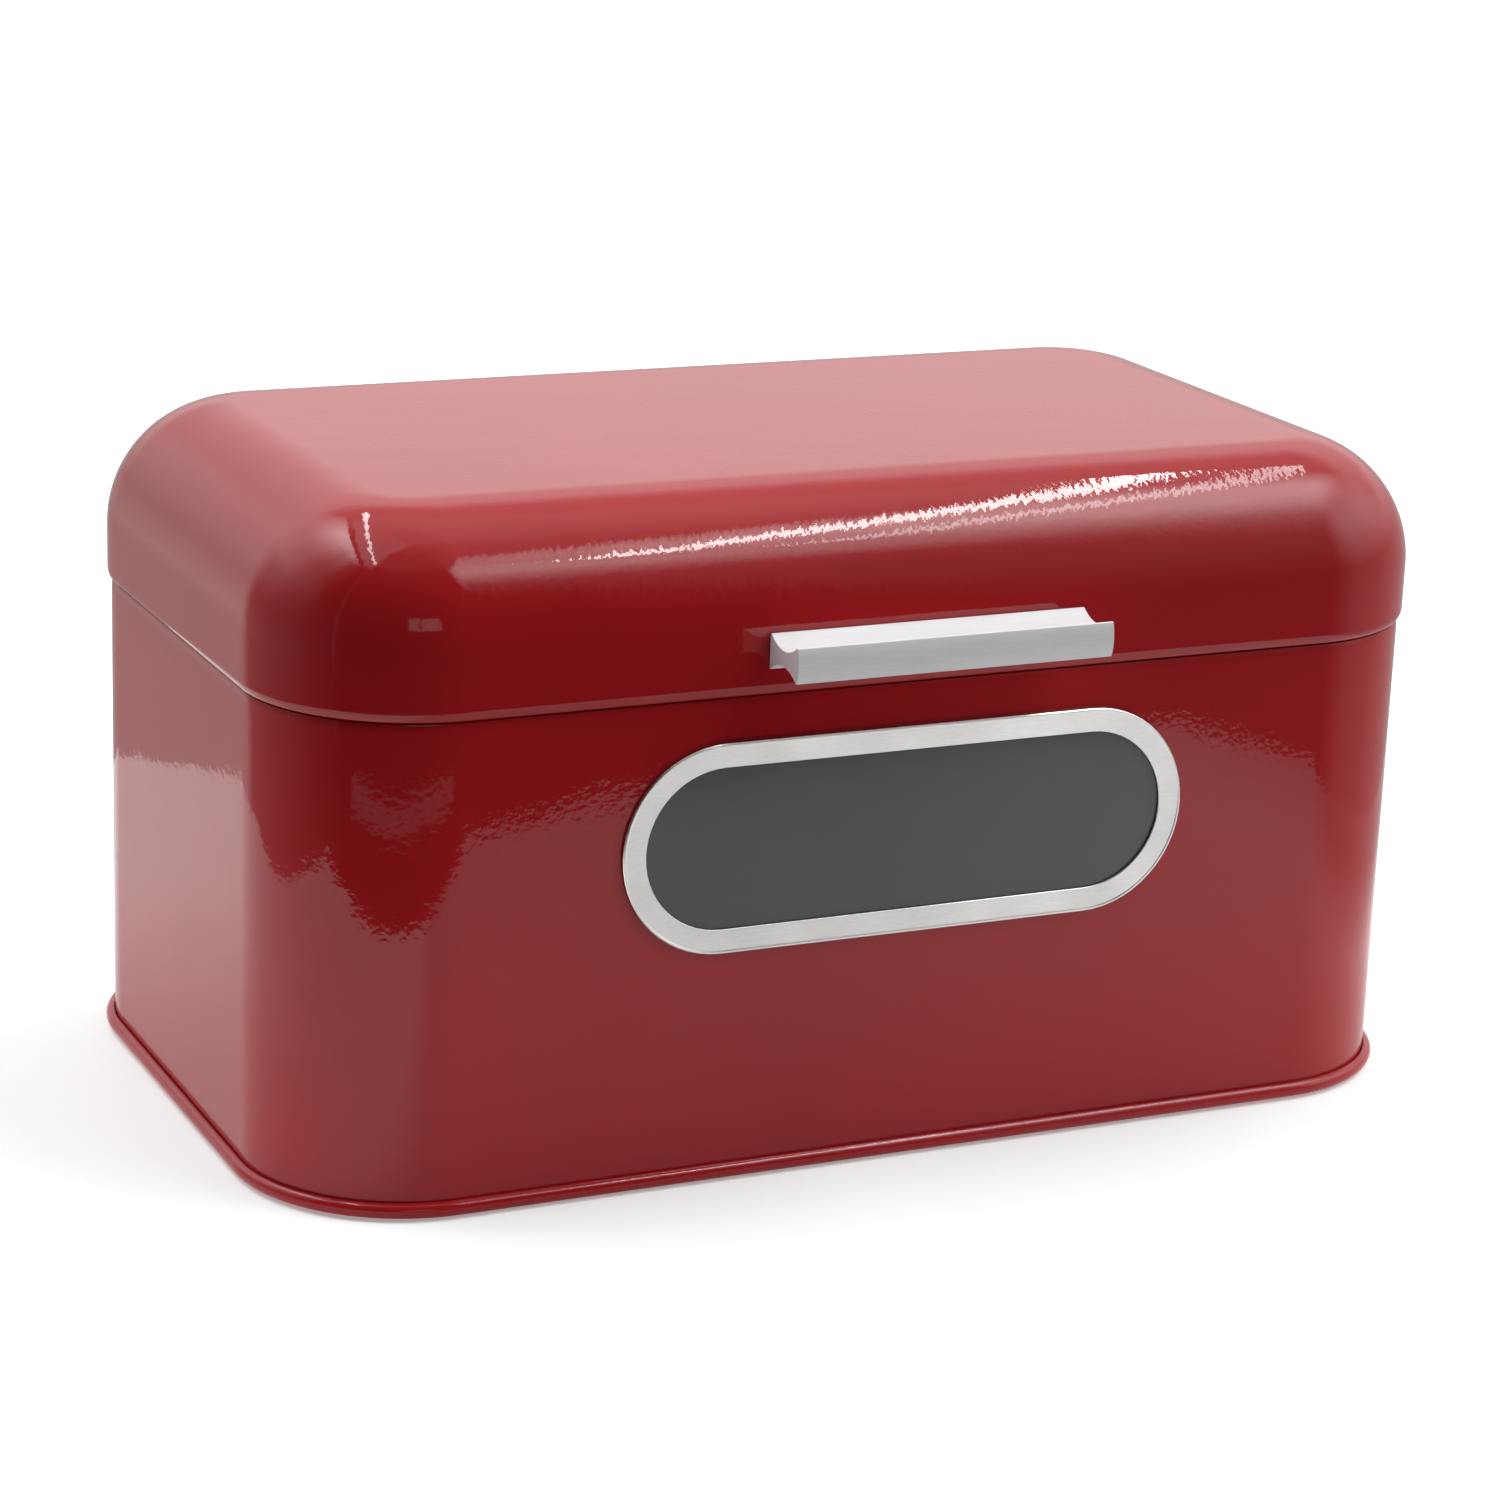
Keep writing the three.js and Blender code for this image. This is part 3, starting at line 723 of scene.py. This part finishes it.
def tab_reach(side):
    """From the window's centre to the middle of the neck's wall: 0 is an end, and 1 or -1 a long side."""
    return (FRAME_SIZE[0] if side == 0 else FRAME_SIZE[1]) / 2 - CUTOUT_INSET - CLEAR - NECK_WALL / 2


def folded_tab(x, side):
    """A tab that runs back through the retainer and folds out behind it."""
    bend, half = RETAINER_BACK - CLEAR, TAB_SHEET / 2
    corners = [(-half, 0, 0.2), (-half, bend - TAB_SHEET, 0.8), (TAB_FOLD, bend - TAB_SHEET, 0.2)]
    corners += [(TAB_FOLD, bend, 0.2), (half, bend, 0.25), (half, 0, 0.2)]
    tab = plate([rounded(corners)], -TAB_WIDTH / 2, TAB_WIDTH / 2, edge=0.12)
    out = Vector((math.copysign(1, x), 0, 0)) if side == 0 else Vector((0, side, 0))
    start = out * tab_reach(side) + Vector((0 if side == 0 else x, 0, 0))
    return tab.moved(frame_of(start, out, (0, 0, 1)))


def window_frame():
    """A bezel with a raised outer rim, dished towards the pane, and the neck and tabs behind it."""
    corners = [(-1.1, CLEAR, 0.1), (-0.1, 0.75, 0.15), (0, 1.1, 0.2), (-0.35, BEZEL_RIM, 0.25)]
    corners += [(-0.8, BEZEL_RIM, 0.25), (-1.15, BEZEL_FLAT, 0.3), (-4.5, BEZEL_FLAT - BEZEL_DISH / 2)]
    corners += [(-BEZEL_WIDTH, BEZEL_FLAT - BEZEL_DISH, 0.3), (-BEZEL_WIDTH, CLEAR, 0.15)]
    shape = Shape()
    sweep(shape, RING, rounded(corners, step=20.0))
    neck = [inset_stadium(CUTOUT_INSET + CLEAR), inset_stadium(CUTOUT_INSET + CLEAR + NECK_WALL)]
    shape.join(plate(neck, -PANE_THICKNESS, CLEAR + 0.1))
    for place in TABS:
        shape.join(folded_tab(*place))
    return shape.moved(WINDOW)


def window_retainer():
    slots = []
    for x, side in TABS:
        wide, tall = TAB_SLOT / 2, (TAB_WIDTH + SLOT_PLAY) / 2
        if side:
            wide, tall = tall, wide
        hole = rounded([(wide, -tall, 0.3), (wide, tall, 0.3), (-wide, tall, 0.3), (-wide, -tall, 0.3)])
        place = (x, side * tab_reach(side)) if side else (math.copysign(tab_reach(side), x), 0)
        slots.append(shifted(hole, *place))
    outlines = [inset_stadium(CUTOUT_INSET - SEAL_MARGIN), inset_stadium(BEZEL_WIDTH + 0.5), *slots]
    return plate(outlines, RETAINER_BACK, RETAINER_FRONT, edge=0.2).moved(WINDOW)


piece("window_bezel", window_frame(), "body", STEEL, "window_frame")
pane = [inset_stadium(CUTOUT_INSET + 2 * CLEAR + NECK_WALL)]
pane = plate(pane, -PANE_THICKNESS, 0, edge=0.3, spacing=10.0)
piece("window_glass", pane.moved(WINDOW), "body", SMOKE, "window_pane")
seal = [inset_stadium(CUTOUT_INSET - SEAL_MARGIN), inset_stadium(CUTOUT_INSET)]
seal = plate(seal, -PANE_THICKNESS, -SHEET - CLEAR, edge=0.3)
piece("window_seal", seal.moved(WINDOW), "body", FOAM, "window_gasket")
piece("window_ring", window_retainer(), "body", ZINC, "window_retainer")


# ---- Handle screws and washers, inside the lid ----
SCREW = [(0, -9.4), (1.6, -9.4, 0.2), (2, -8.9, 0.1), (2, 0, 0.15), (3.7, 0, 0.2), (3.7, 1.4, 0.5)]
SCREW += [(2.4, 2.35, 1.2), (1.3, 2.4, 0.1), (1.3, 1.2, 0.1), (0, 1.0)]
for name, side in (("left", -1), ("right", 1)):
    x = BAR_CENTRE + side * SCREW_SPACING / 2
    inner = -LID_BACK + SHEET + CLEAR
    turn = frame_of((x, inner + WASHER_THICKNESS + CLEAR, BAR_Z), (1, 0, 0), (0, 0, -1))
    piece("screw_" + name, turned(SCREW).moved(turn), "lid", ZINC, "handle_screw_" + name)
    washer = plate([circle(4.5, 36), circle(2.3, 28)], 0, WASHER_THICKNESS)
    turn = frame_of((x, inner, BAR_Z), (1, 0, 0), (0, 0, -1))
    piece("washer_" + name, washer.moved(turn), "lid", ZINC, "handle_washer_" + name)


# ---- Hinges, about the pin's axis: X runs along the pin, and Y outwards from the bin's back ----
def leaf_plate(corners, inner_y):
    """A plate that stands in the plane of the wall, from its (x, z) corners."""
    leaf = plate([rounded(corners)], -inner_y - LEAF, -inner_y, edge=0.25)
    return leaf.moved(frame_of((0, 0, 0), (1, 0, 0), (0, 0, 1)))


def along_pin(corners, segments=36):
    """A turned section laid along the pin."""
    return turned(corners, segments).moved(frame_of((0, 0, 0), (0, 1, 0), (0, 0, 1)))


def knuckle(start, end):
    return along_pin([(0, start), (KNUCKLE, start, 0.3), (KNUCKLE, end, 0.3), (0, end)])


def lid_leaf():
    inner_y = LID_OVERHANG + CLEAR - HINGE_OFFSET
    near, half = KNUCKLE + KNUCKLE_CLEAR, HINGE_WIDTH / 2
    mid = (HINGE_THIRD - CLEAR) / 2
    corners = [(-half, near, 0.35), (half, near, 0.35), (half, LEAF_REACH, LEAF_CORNER)]
    leaf = leaf_plate(corners + [(-half, LEAF_REACH, LEAF_CORNER)], inner_y)
    root = near + 0.6
    corners = [(-mid, 0, 0.35), (mid, 0, 0.35), (mid, root, 0.35), (-mid, root, 0.35)]
    return leaf.join(leaf_plate(corners, inner_y)).join(knuckle(-mid, mid))


def stop_ear(x):
    """An ear whose sloping edge meets the lid's leaf when the lid is fully open."""
    face = LID_OVERHANG + CLEAR + LEAF - HINGE_OFFSET
    meets = lambda y: (y * math.cos(OPEN_ANGLE) - face - 0.25) / math.sin(OPEN_ANGLE)
    corners = [(-2.3, -3.4, 0.3), (-2.3, -13, 0.8), (6.5, -5.5, 1.2), (6.5, meets(6.5), 0.5)]
    corners += [(3.3, meets(3.3), 0.4), (2.4, -3, 0.3)]
    ear = plate([rounded(corners)], x - EAR_THICKNESS / 2, x + EAR_THICKNESS / 2, edge=0.2)
    return ear.moved(frame_of((0, 0, 0), (0, 1, 0), (0, 0, 1)))


def body_leaf():
    inner_y = CLEAR - HINGE_OFFSET
    half, third = HINGE_WIDTH / 2, HINGE_THIRD / 2 + CLEAR / 2
    notch = -KNUCKLE - KNUCKLE_CLEAR
    corners = [(-half, -LEAF_REACH, LEAF_CORNER), (half, -LEAF_REACH, LEAF_CORNER), (half, 0, 0.35)]
    corners += [(third, 0, 0.35), (third, notch, 0.3), (-third, notch, 0.3), (-third, 0, 0.35)]
    shape = leaf_plate(corners + [(-half, 0, 0.35)], inner_y)
    shape.join(knuckle(-half, -third)).join(knuckle(third, half))
    ear = half - EAR_THICKNESS / 2
    return shape.join(stop_ear(-ear)).join(stop_ear(ear))


def rivet():
    grip = SHEET + LEAF + 3 * CLEAR
    corners = [(0, -grip - 1.0), (2.5, -grip - 1.0, 0.5), (2.5, -grip, 0.2), (1.45, -grip)]
    corners += [(1.45, 0), (3, 0, 0.1), (2.95, 0.35, 0.3), (2.2, 0.95, 1.0), (0, 1.25)]
    return turned(corners, 32)


PIN_END = HINGE_WIDTH / 2 + CLEAR
PIN_HEAD = PIN_END + 0.8
PIN = [(0, -PIN_HEAD), (2.1, -PIN_HEAD, 0.4), (2.1, -PIN_END, 0.15), (1.2, -PIN_END)]
PIN += [(1.2, PIN_END), (2.1, PIN_END, 0.15), (2.1, PIN_HEAD, 0.4), (0, PIN_HEAD)]
for name, side in (("left", -1), ("right", 1)):
    place = Matrix.Translation((side * HINGE_X, HINGE_AXIS[1], HINGE_AXIS[2]))
    node = "hinge_" + name
    piece("hinge_leaf_lid_" + name, lid_leaf().moved(place), "lid", ZINC, node + "_lid_leaf")
    piece("hinge_leaf_body_" + name, body_leaf().moved(place), "body", ZINC, node + "_body_leaf")
    piece("hinge_rod_" + name, along_pin(PIN, 28).moved(place), "body", ZINC, node + "_pin")
    for end, sign in (("a", -1), ("b", 1)):
        for body, overhang, z in (("lid", LID_OVERHANG, RIVET_REACH), ("body", 0, -RIVET_REACH)):
            face = overhang + 2 * CLEAR + LEAF - HINGE_OFFSET
            turn = frame_of((sign * RIVET_ACROSS, face, z), (1, 0, 0), (0, 0, -1))
            which = "_".join((name, body, end))
            piece("rivet_head_" + which, rivet().moved(turn).moved(place), body, ZINC, "rivet_" + which)


# ---- Feet ----
for end in ("front", "back"):
    for side in ("left", "right"):
        node = "foot_" + end + "_" + side
        low, high = cad_box(node)
        middle, radius, top = (low + high) / 2, (high - low)[0] / 2, high[2]
        corners = [(0, 0.35), (3.2, 0.35, 0.4), (3.7, 0, 0.4), (radius - 0.2, 0, 0.8)]
        corners += [(radius, 1.0, 0.6), (radius - 0.6, top, 0.4), (0, top)]
        pad = turned(corners, 40).moved(Matrix.Translation((middle[0], middle[1] - PLAN_Y, 0)))
        piece("pad_" + end + "_" + side, pad, "body", RUBBER, node)


# ---- Camera ----
CAMERA_AZIMUTH = math.radians(-25.2267)
CAMERA_ELEVATION = math.radians(16.5675)
CAMERA_ROLL = math.radians(2.104)
CAMERA_DISTANCE = 1.463401
CAMERA_TARGET = Vector((-0.000145, PLAN_Y * MM, 0.105909))
CAMERA_LENS = 99.256


def add_camera():
    ca, sa = math.cos(CAMERA_AZIMUTH), math.sin(CAMERA_AZIMUTH)
    ce, se = math.cos(CAMERA_ELEVATION), math.sin(CAMERA_ELEVATION)
    right = Vector((ca, sa, 0))
    back = Vector((sa * ce, -ca * ce, se))
    up = back.cross(right)
    cr, sr = math.cos(CAMERA_ROLL), math.sin(CAMERA_ROLL)
    right, up = cr * right + sr * up, cr * up - sr * right
    data = bpy.data.cameras.new("camera")
    data.lens = CAMERA_LENS
    data.sensor_width = 36.0
    data.clip_start, data.clip_end = 0.05, 60.0
    camera = bpy.data.objects.new("camera", data)
    bpy.context.scene.collection.objects.link(camera)
    turn = Matrix((right, up, back)).transposed().to_4x4()
    camera.matrix_world = Matrix.Translation(CAMERA_TARGET + back * CAMERA_DISTANCE) @ turn
    bpy.context.scene.camera = camera


add_camera()


# ---- Stage: a pale floor, a tent of light that is open in front, and thin lamps overhead ----
# The camera sees only the floor. The bin's gloss reflects a table of limited size and its ledge, which
# the camera doesn't see. The tent's levels and the table's outline and shades are a few stops, listed
# after levels that were measured from the reflections in the photograph.
def stage_plane(name, corners, height, colour, glow, camera_sees, painted_light_stops=()):
    """A flat sheet on the stage that glows by `glow`, of one colour, or with painted light and shade: (x,
    grey level) stops along X that set both its colour and its glow.

    The camera sees it and reflections don't, or the other way round.
    """
    mesh = bpy.data.meshes.new(name)
    mesh.from_pydata([(x, y, height) for x, y in corners], [], [range(len(corners))])
    material, tree, shader = new_material(name)
    shader.inputs["Base Color"].default_value = (*colour, 1)
    if painted_light_stops:
        where = add_node(tree, "ShaderNodeTexCoord").outputs["Object"]
        along = add_node(tree, "ShaderNodeSeparateXYZ", {0: where}).outputs[0]
        # Painted light and shade: this level along X sets both the sheet's colour and its glow.
        painted_level = ramp(tree, along, -0.6, 0.6, painted_light_stops)
        tree.links.new(painted_level, shader.inputs["Base Color"])
        tree.links.new(painted_level, shader.inputs["Emission Color"])
    else:
        shader.inputs["Emission Color"].default_value = (1, 1, 1, 1)
    shader.inputs["Roughness"].default_value = 0.7
    shader.inputs["Specular IOR Level"].default_value = 0.0
    shader.inputs["Emission Strength"].default_value = glow
    mesh.materials.append(material)
    obj = bpy.data.objects.new(name, mesh)
    bpy.context.scene.collection.objects.link(obj)
    obj.visible_camera = camera_sees
    for flag in ("visible_diffuse", "visible_glossy", "visible_transmission", "visible_shadow"):
        setattr(obj, flag, not camera_sees)


FLOOR = 30.0  # half the width of the floor, in metres
TABLE = [(-0.29, 0.425), (-0.43, 0.275), (-0.48, 0.21), (-0.50, 0.08), (-0.545, -0.09)]
TABLE += [(-0.545, -0.21), (-0.48, -0.26), (-0.28, -0.37), (0.02, -0.50), (0.16, -0.55)]
TABLE += [(0.36, -0.55), (0.40, -0.43), (0.48, -0.28), (0.505, -0.14), (0.50, 0.30)]
LEDGE = [(-0.585, -0.398), (-0.48, -0.462), (-0.24, -0.571), (-0.06, -0.605)]
LEDGE += [(-0.06, -0.555), (-0.22, -0.521), (-0.457, -0.412), (-0.562, -0.348)]
# Painted light and shade on the table that the bin reflects: grey levels along X, lighter at the left and
# darker in front, stand in for the uneven light on the studio's table, and its glow keeps its reflection
# bright near the bin, where the bin's shadow would darken it.
TABLE_PAINTED_LIGHT = [(-0.215, 0.78), (-0.17, 0.47), (0.0, 0.53), (0.15, 0.64), (0.32, 0.76), (0.42, 0.38)]
WHITE_FLOOR = [(-FLOOR, -FLOOR), (FLOOR, -FLOOR), (FLOOR, FLOOR), (-FLOOR, FLOOR)]


TENT_TOP = 7.0  # the brightest level of the tent, where the floor's white is 1


def ramp(tree, value, low, high, stops):
    """A level along a range, from (value, level) stops."""
    part = ranged(tree, value, 0, 1, low, high)
    node = add_node(tree, "ShaderNodeValToRGB", {"Fac": part})
    elements = node.color_ramp.elements
    while len(elements) < len(stops):
        elements.new(0.5)
    for element, (at, level) in zip(elements, stops):
        element.position = (at - low) / (high - low)
        element.color = (level / TENT_TOP,) * 3 + (1,)
    return math_node(tree, "MULTIPLY", node.outputs[0], TENT_TOP)


def math_node(tree, operation, *values):
    return add_node(tree, "ShaderNodeMath", dict(enumerate(values)), operation=operation).outputs[0]


def between(tree, share, a, b):
    return add_node(tree, "ShaderNodeMix", {0: share, 2: a, 3: b}).outputs[0]


# The floor's faint blue-green tint is painted to cancel the pink light that the red bin throws on it; its
# glow is even.
stage_plane("floor", WHITE_FLOOR, -0.0001, (0.92, 1.0, 1.0), 0.28, True)
# The table's glow and its grey levels along X are painted light and shade.
stage_plane("table", TABLE[::-1], -0.0002, (0.8, 0.8, 0.8), 0.36, False, TABLE_PAINTED_LIGHT)
stage_plane("ledge", LEDGE, -0.0002, (0.3, 0.3, 0.3), 0.0, False)


def light_tent():
    """Bright side panels, a dimmer back and ceiling, and a dark opening in front where the camera is."""
    world = bpy.data.worlds.new("tent")
    bpy.context.scene.world = world
    world.use_nodes = True
    tree = world.node_tree
    tree.nodes.clear()
    toward = add_node(tree, "ShaderNodeTexCoord").outputs["Generated"]
    parts = add_node(tree, "ShaderNodeSeparateXYZ", {0: toward}).outputs
    minus_y = math_node(tree, "MULTIPLY", parts[1], -1.0)
    azimuth = math_node(tree, "DEGREES", math_node(tree, "ARCTAN2", parts[0], minus_y))
    elevation = math_node(tree, "DEGREES", math_node(tree, "ARCSINE", parts[2]))
    across = (math.cos(CAMERA_AZIMUTH), math.sin(CAMERA_AZIMUTH), 0)  # the way that the panels face
    sideways = add_node(tree, "ShaderNodeVectorMath", {0: toward, 1: across}, operation="DOT_PRODUCT")
    sideways = math_node(tree, "ABSOLUTE", sideways.outputs["Value"])
    panel_height = math_node(tree, "DIVIDE", parts[2], sideways)

    by_azimuth = lambda stops: ramp(tree, azimuth, -180, 180, stops)
    by_elevation = lambda stops: ramp(tree, elevation, -90, 90, stops)
    by_panel_height = lambda stops: ramp(tree, panel_height, -1, 6, stops)

    left = [(-0.4, 0.75), (-0.3, 0.85), (-0.2, 1.1), (0.1, 0.8), (0.36, 1.05), (0.49, 1.25)]
    left += [(0.62, 1.65), (0.92, 1.8), (1.1, 2.1), (1.31, 3.0), (1.56, 4.5), (1.9, 6.0)]
    left += [(2.16, 6.0), (2.2, 0.3), (2.42, 0.3), (2.5, 1.6), (4.5, 1.25)]
    right = [(-0.35, 0.5), (0, 0.45), (0.17, 1.0), (0.36, 1.7), (0.58, 2.2), (0.84, 2.1), (1.05, 2.6)]
    right += [(1.25, 4.2), (1.5, 5.5), (1.9, 5.0), (2.1, 3.5), (2.24, 0.9), (3.7, 0.85), (5.0, 0.8)]
    front = [(0, 0.0), (46, 0.0), (52, 0.03), (62, 0.08), (68, 0.32), (78, 0.25), (82, 0.4), (87, 0.57)]
    back = [(-10, 0.48), (2, 0.58), (11, 1.0), (16, 0.96), (21, 0.9), (28, 1.12), (34, 1.25)]
    back += [(43, 0.75), (51, 0.8), (58, 1.15), (72, 1.2), (80, 0.95)]
    left = by_panel_height(left)
    right = by_panel_height(right)
    front = by_elevation(front)
    back = by_elevation(back)

    near_table = by_azimuth([(-152, 1), (-143, 0.42), (-105, 0.32), (-90, 0.18), (-68, 0.05), (-64, 0)])
    low_left = by_azimuth([(-143, 1), (-128, 0.9), (-112, 0.5), (-97, 0.3), (-86, 0.06), (-76, 0)])
    high_left = by_azimuth([(-70, 1), (-60, 0)])
    low_right = by_azimuth([(26, 0), (29, 0.15), (38, 0.2), (44, 0.5), (57, 1)])
    high_right = by_azimuth([(26, 0), (32, 0.6), (40, 0.75), (46, 0.6), (60, 1)])
    top_right = by_azimuth([(20, 0), (90, 1)])
    is_low = by_elevation([(6, 1), (28, 0)])
    left_high = by_elevation([(60, 0), (67, 1)])
    right_high = by_elevation([(44, 0), (54, 1)])
    is_top = by_elevation([(62, 0), (67, 1)])
    share_left = between(tree, left_high, between(tree, is_low, low_left, near_table), high_left)
    share_right = between(tree, is_top, between(tree, right_high, low_right, high_right), top_right)
    share_back = by_azimuth([(-176, 1), (-150, 0), (85, 0), (110, 1)])
    level = between(tree, share_right, between(tree, share_left, front, left), right)
    level = between(tree, share_back, level, back)

    # A small window in front of the bin, and the seam between two sheets of the tent
    pane_across = [(-20, 0), (-19, 1), (-12, 1), (-11.6, 0.2), (-10.8, 0.2), (-10.4, 1), (2, 1), (3, 0)]
    pane_across = by_azimuth(pane_across)
    pane_up = by_elevation([(13, 0), (14.5, 1), (23, 1), (24.5, 0)])
    gap_across = by_azimuth([(-67.8, 0), (-67.2, 0.35), (-66.8, 0.35), (-66.2, 0)])
    gap_up = by_elevation([(-16, 0), (-14, 1), (52, 1), (60, 0)])
    level = math_node(tree, "ADD", level, math_node(tree, "MULTIPLY", pane_across, pane_up))
    level = math_node(tree, "ADD", level, math_node(tree, "MULTIPLY", gap_across, gap_up))
    tent = add_node(tree, "ShaderNodeBackground", {"Color": level, "Strength": 1.0})
    plain = add_node(tree, "ShaderNodeBackground", {"Color": (1, 1, 1, 1), "Strength": 1.0})
    seen = add_node(tree, "ShaderNodeLightPath").outputs["Is Camera Ray"]
    both = add_node(tree, "ShaderNodeMixShader", {0: seen, 1: tent.outputs[0], 2: plain.outputs[0]})
    output = add_node(tree, "ShaderNodeOutputWorld")
    tree.links.new(both.outputs[0], output.inputs[0])


light_tent()


LAMP_HEIGHT = 5.0  # above the point that the lamps face, in metres
LAMP_AIM = 0.2  # the height of that point


def lamp(name, start, end, width, radiance):
    """A strip lamp that faces the bin, between two points in metres."""
    start, end = Vector(start), Vector(end)
    length = (end - start).length
    middle = (start + end) / 2
    data = bpy.data.lights.new(name, "AREA")
    data.shape = "RECTANGLE"
    data.size, data.size_y = length, width
    data.energy = radiance * math.pi * length * width
    obj = bpy.data.objects.new(name, data)
    bpy.context.scene.collection.objects.link(obj)
    along = (end - start).normalized()
    back = (middle - Vector((0, 0, LAMP_AIM))).normalized()
    across = back.cross(along).normalized()
    turn = Matrix((along, across, along.cross(across))).transposed().to_4x4()
    obj.matrix_world = Matrix.Translation(middle) @ turn
    obj.visible_camera = False


def overhead(slope_x, slope_y):
    """A point overhead in the direction with these slopes from the vertical."""
    return Vector((slope_x * LAMP_HEIGHT, slope_y * LAMP_HEIGHT, LAMP_HEIGHT + LAMP_AIM))


lamp("strip_a", overhead(0.43, -0.486), overhead(0.51, -0.1), 0.14, 18.0)
lamp("strip_b", overhead(0.51, -0.1), overhead(0.64, 0.415), 0.14, 18.0)
lamp("strip_c", overhead(0.523, -0.505), overhead(0.557, -0.225), 0.10, 7.0)
lamp("strip_d", overhead(0.557, -0.225), overhead(0.695, 0.38), 0.10, 7.0)
lamp("strip_e", overhead(-0.44, -0.19), overhead(-0.20, 0.36), 0.14, 11.0)
lamp("strip_f", overhead(-0.20, 0.36), overhead(0.06, 0.92), 0.14, 11.0)

bpy.context.scene.view_settings.view_transform = "Standard"
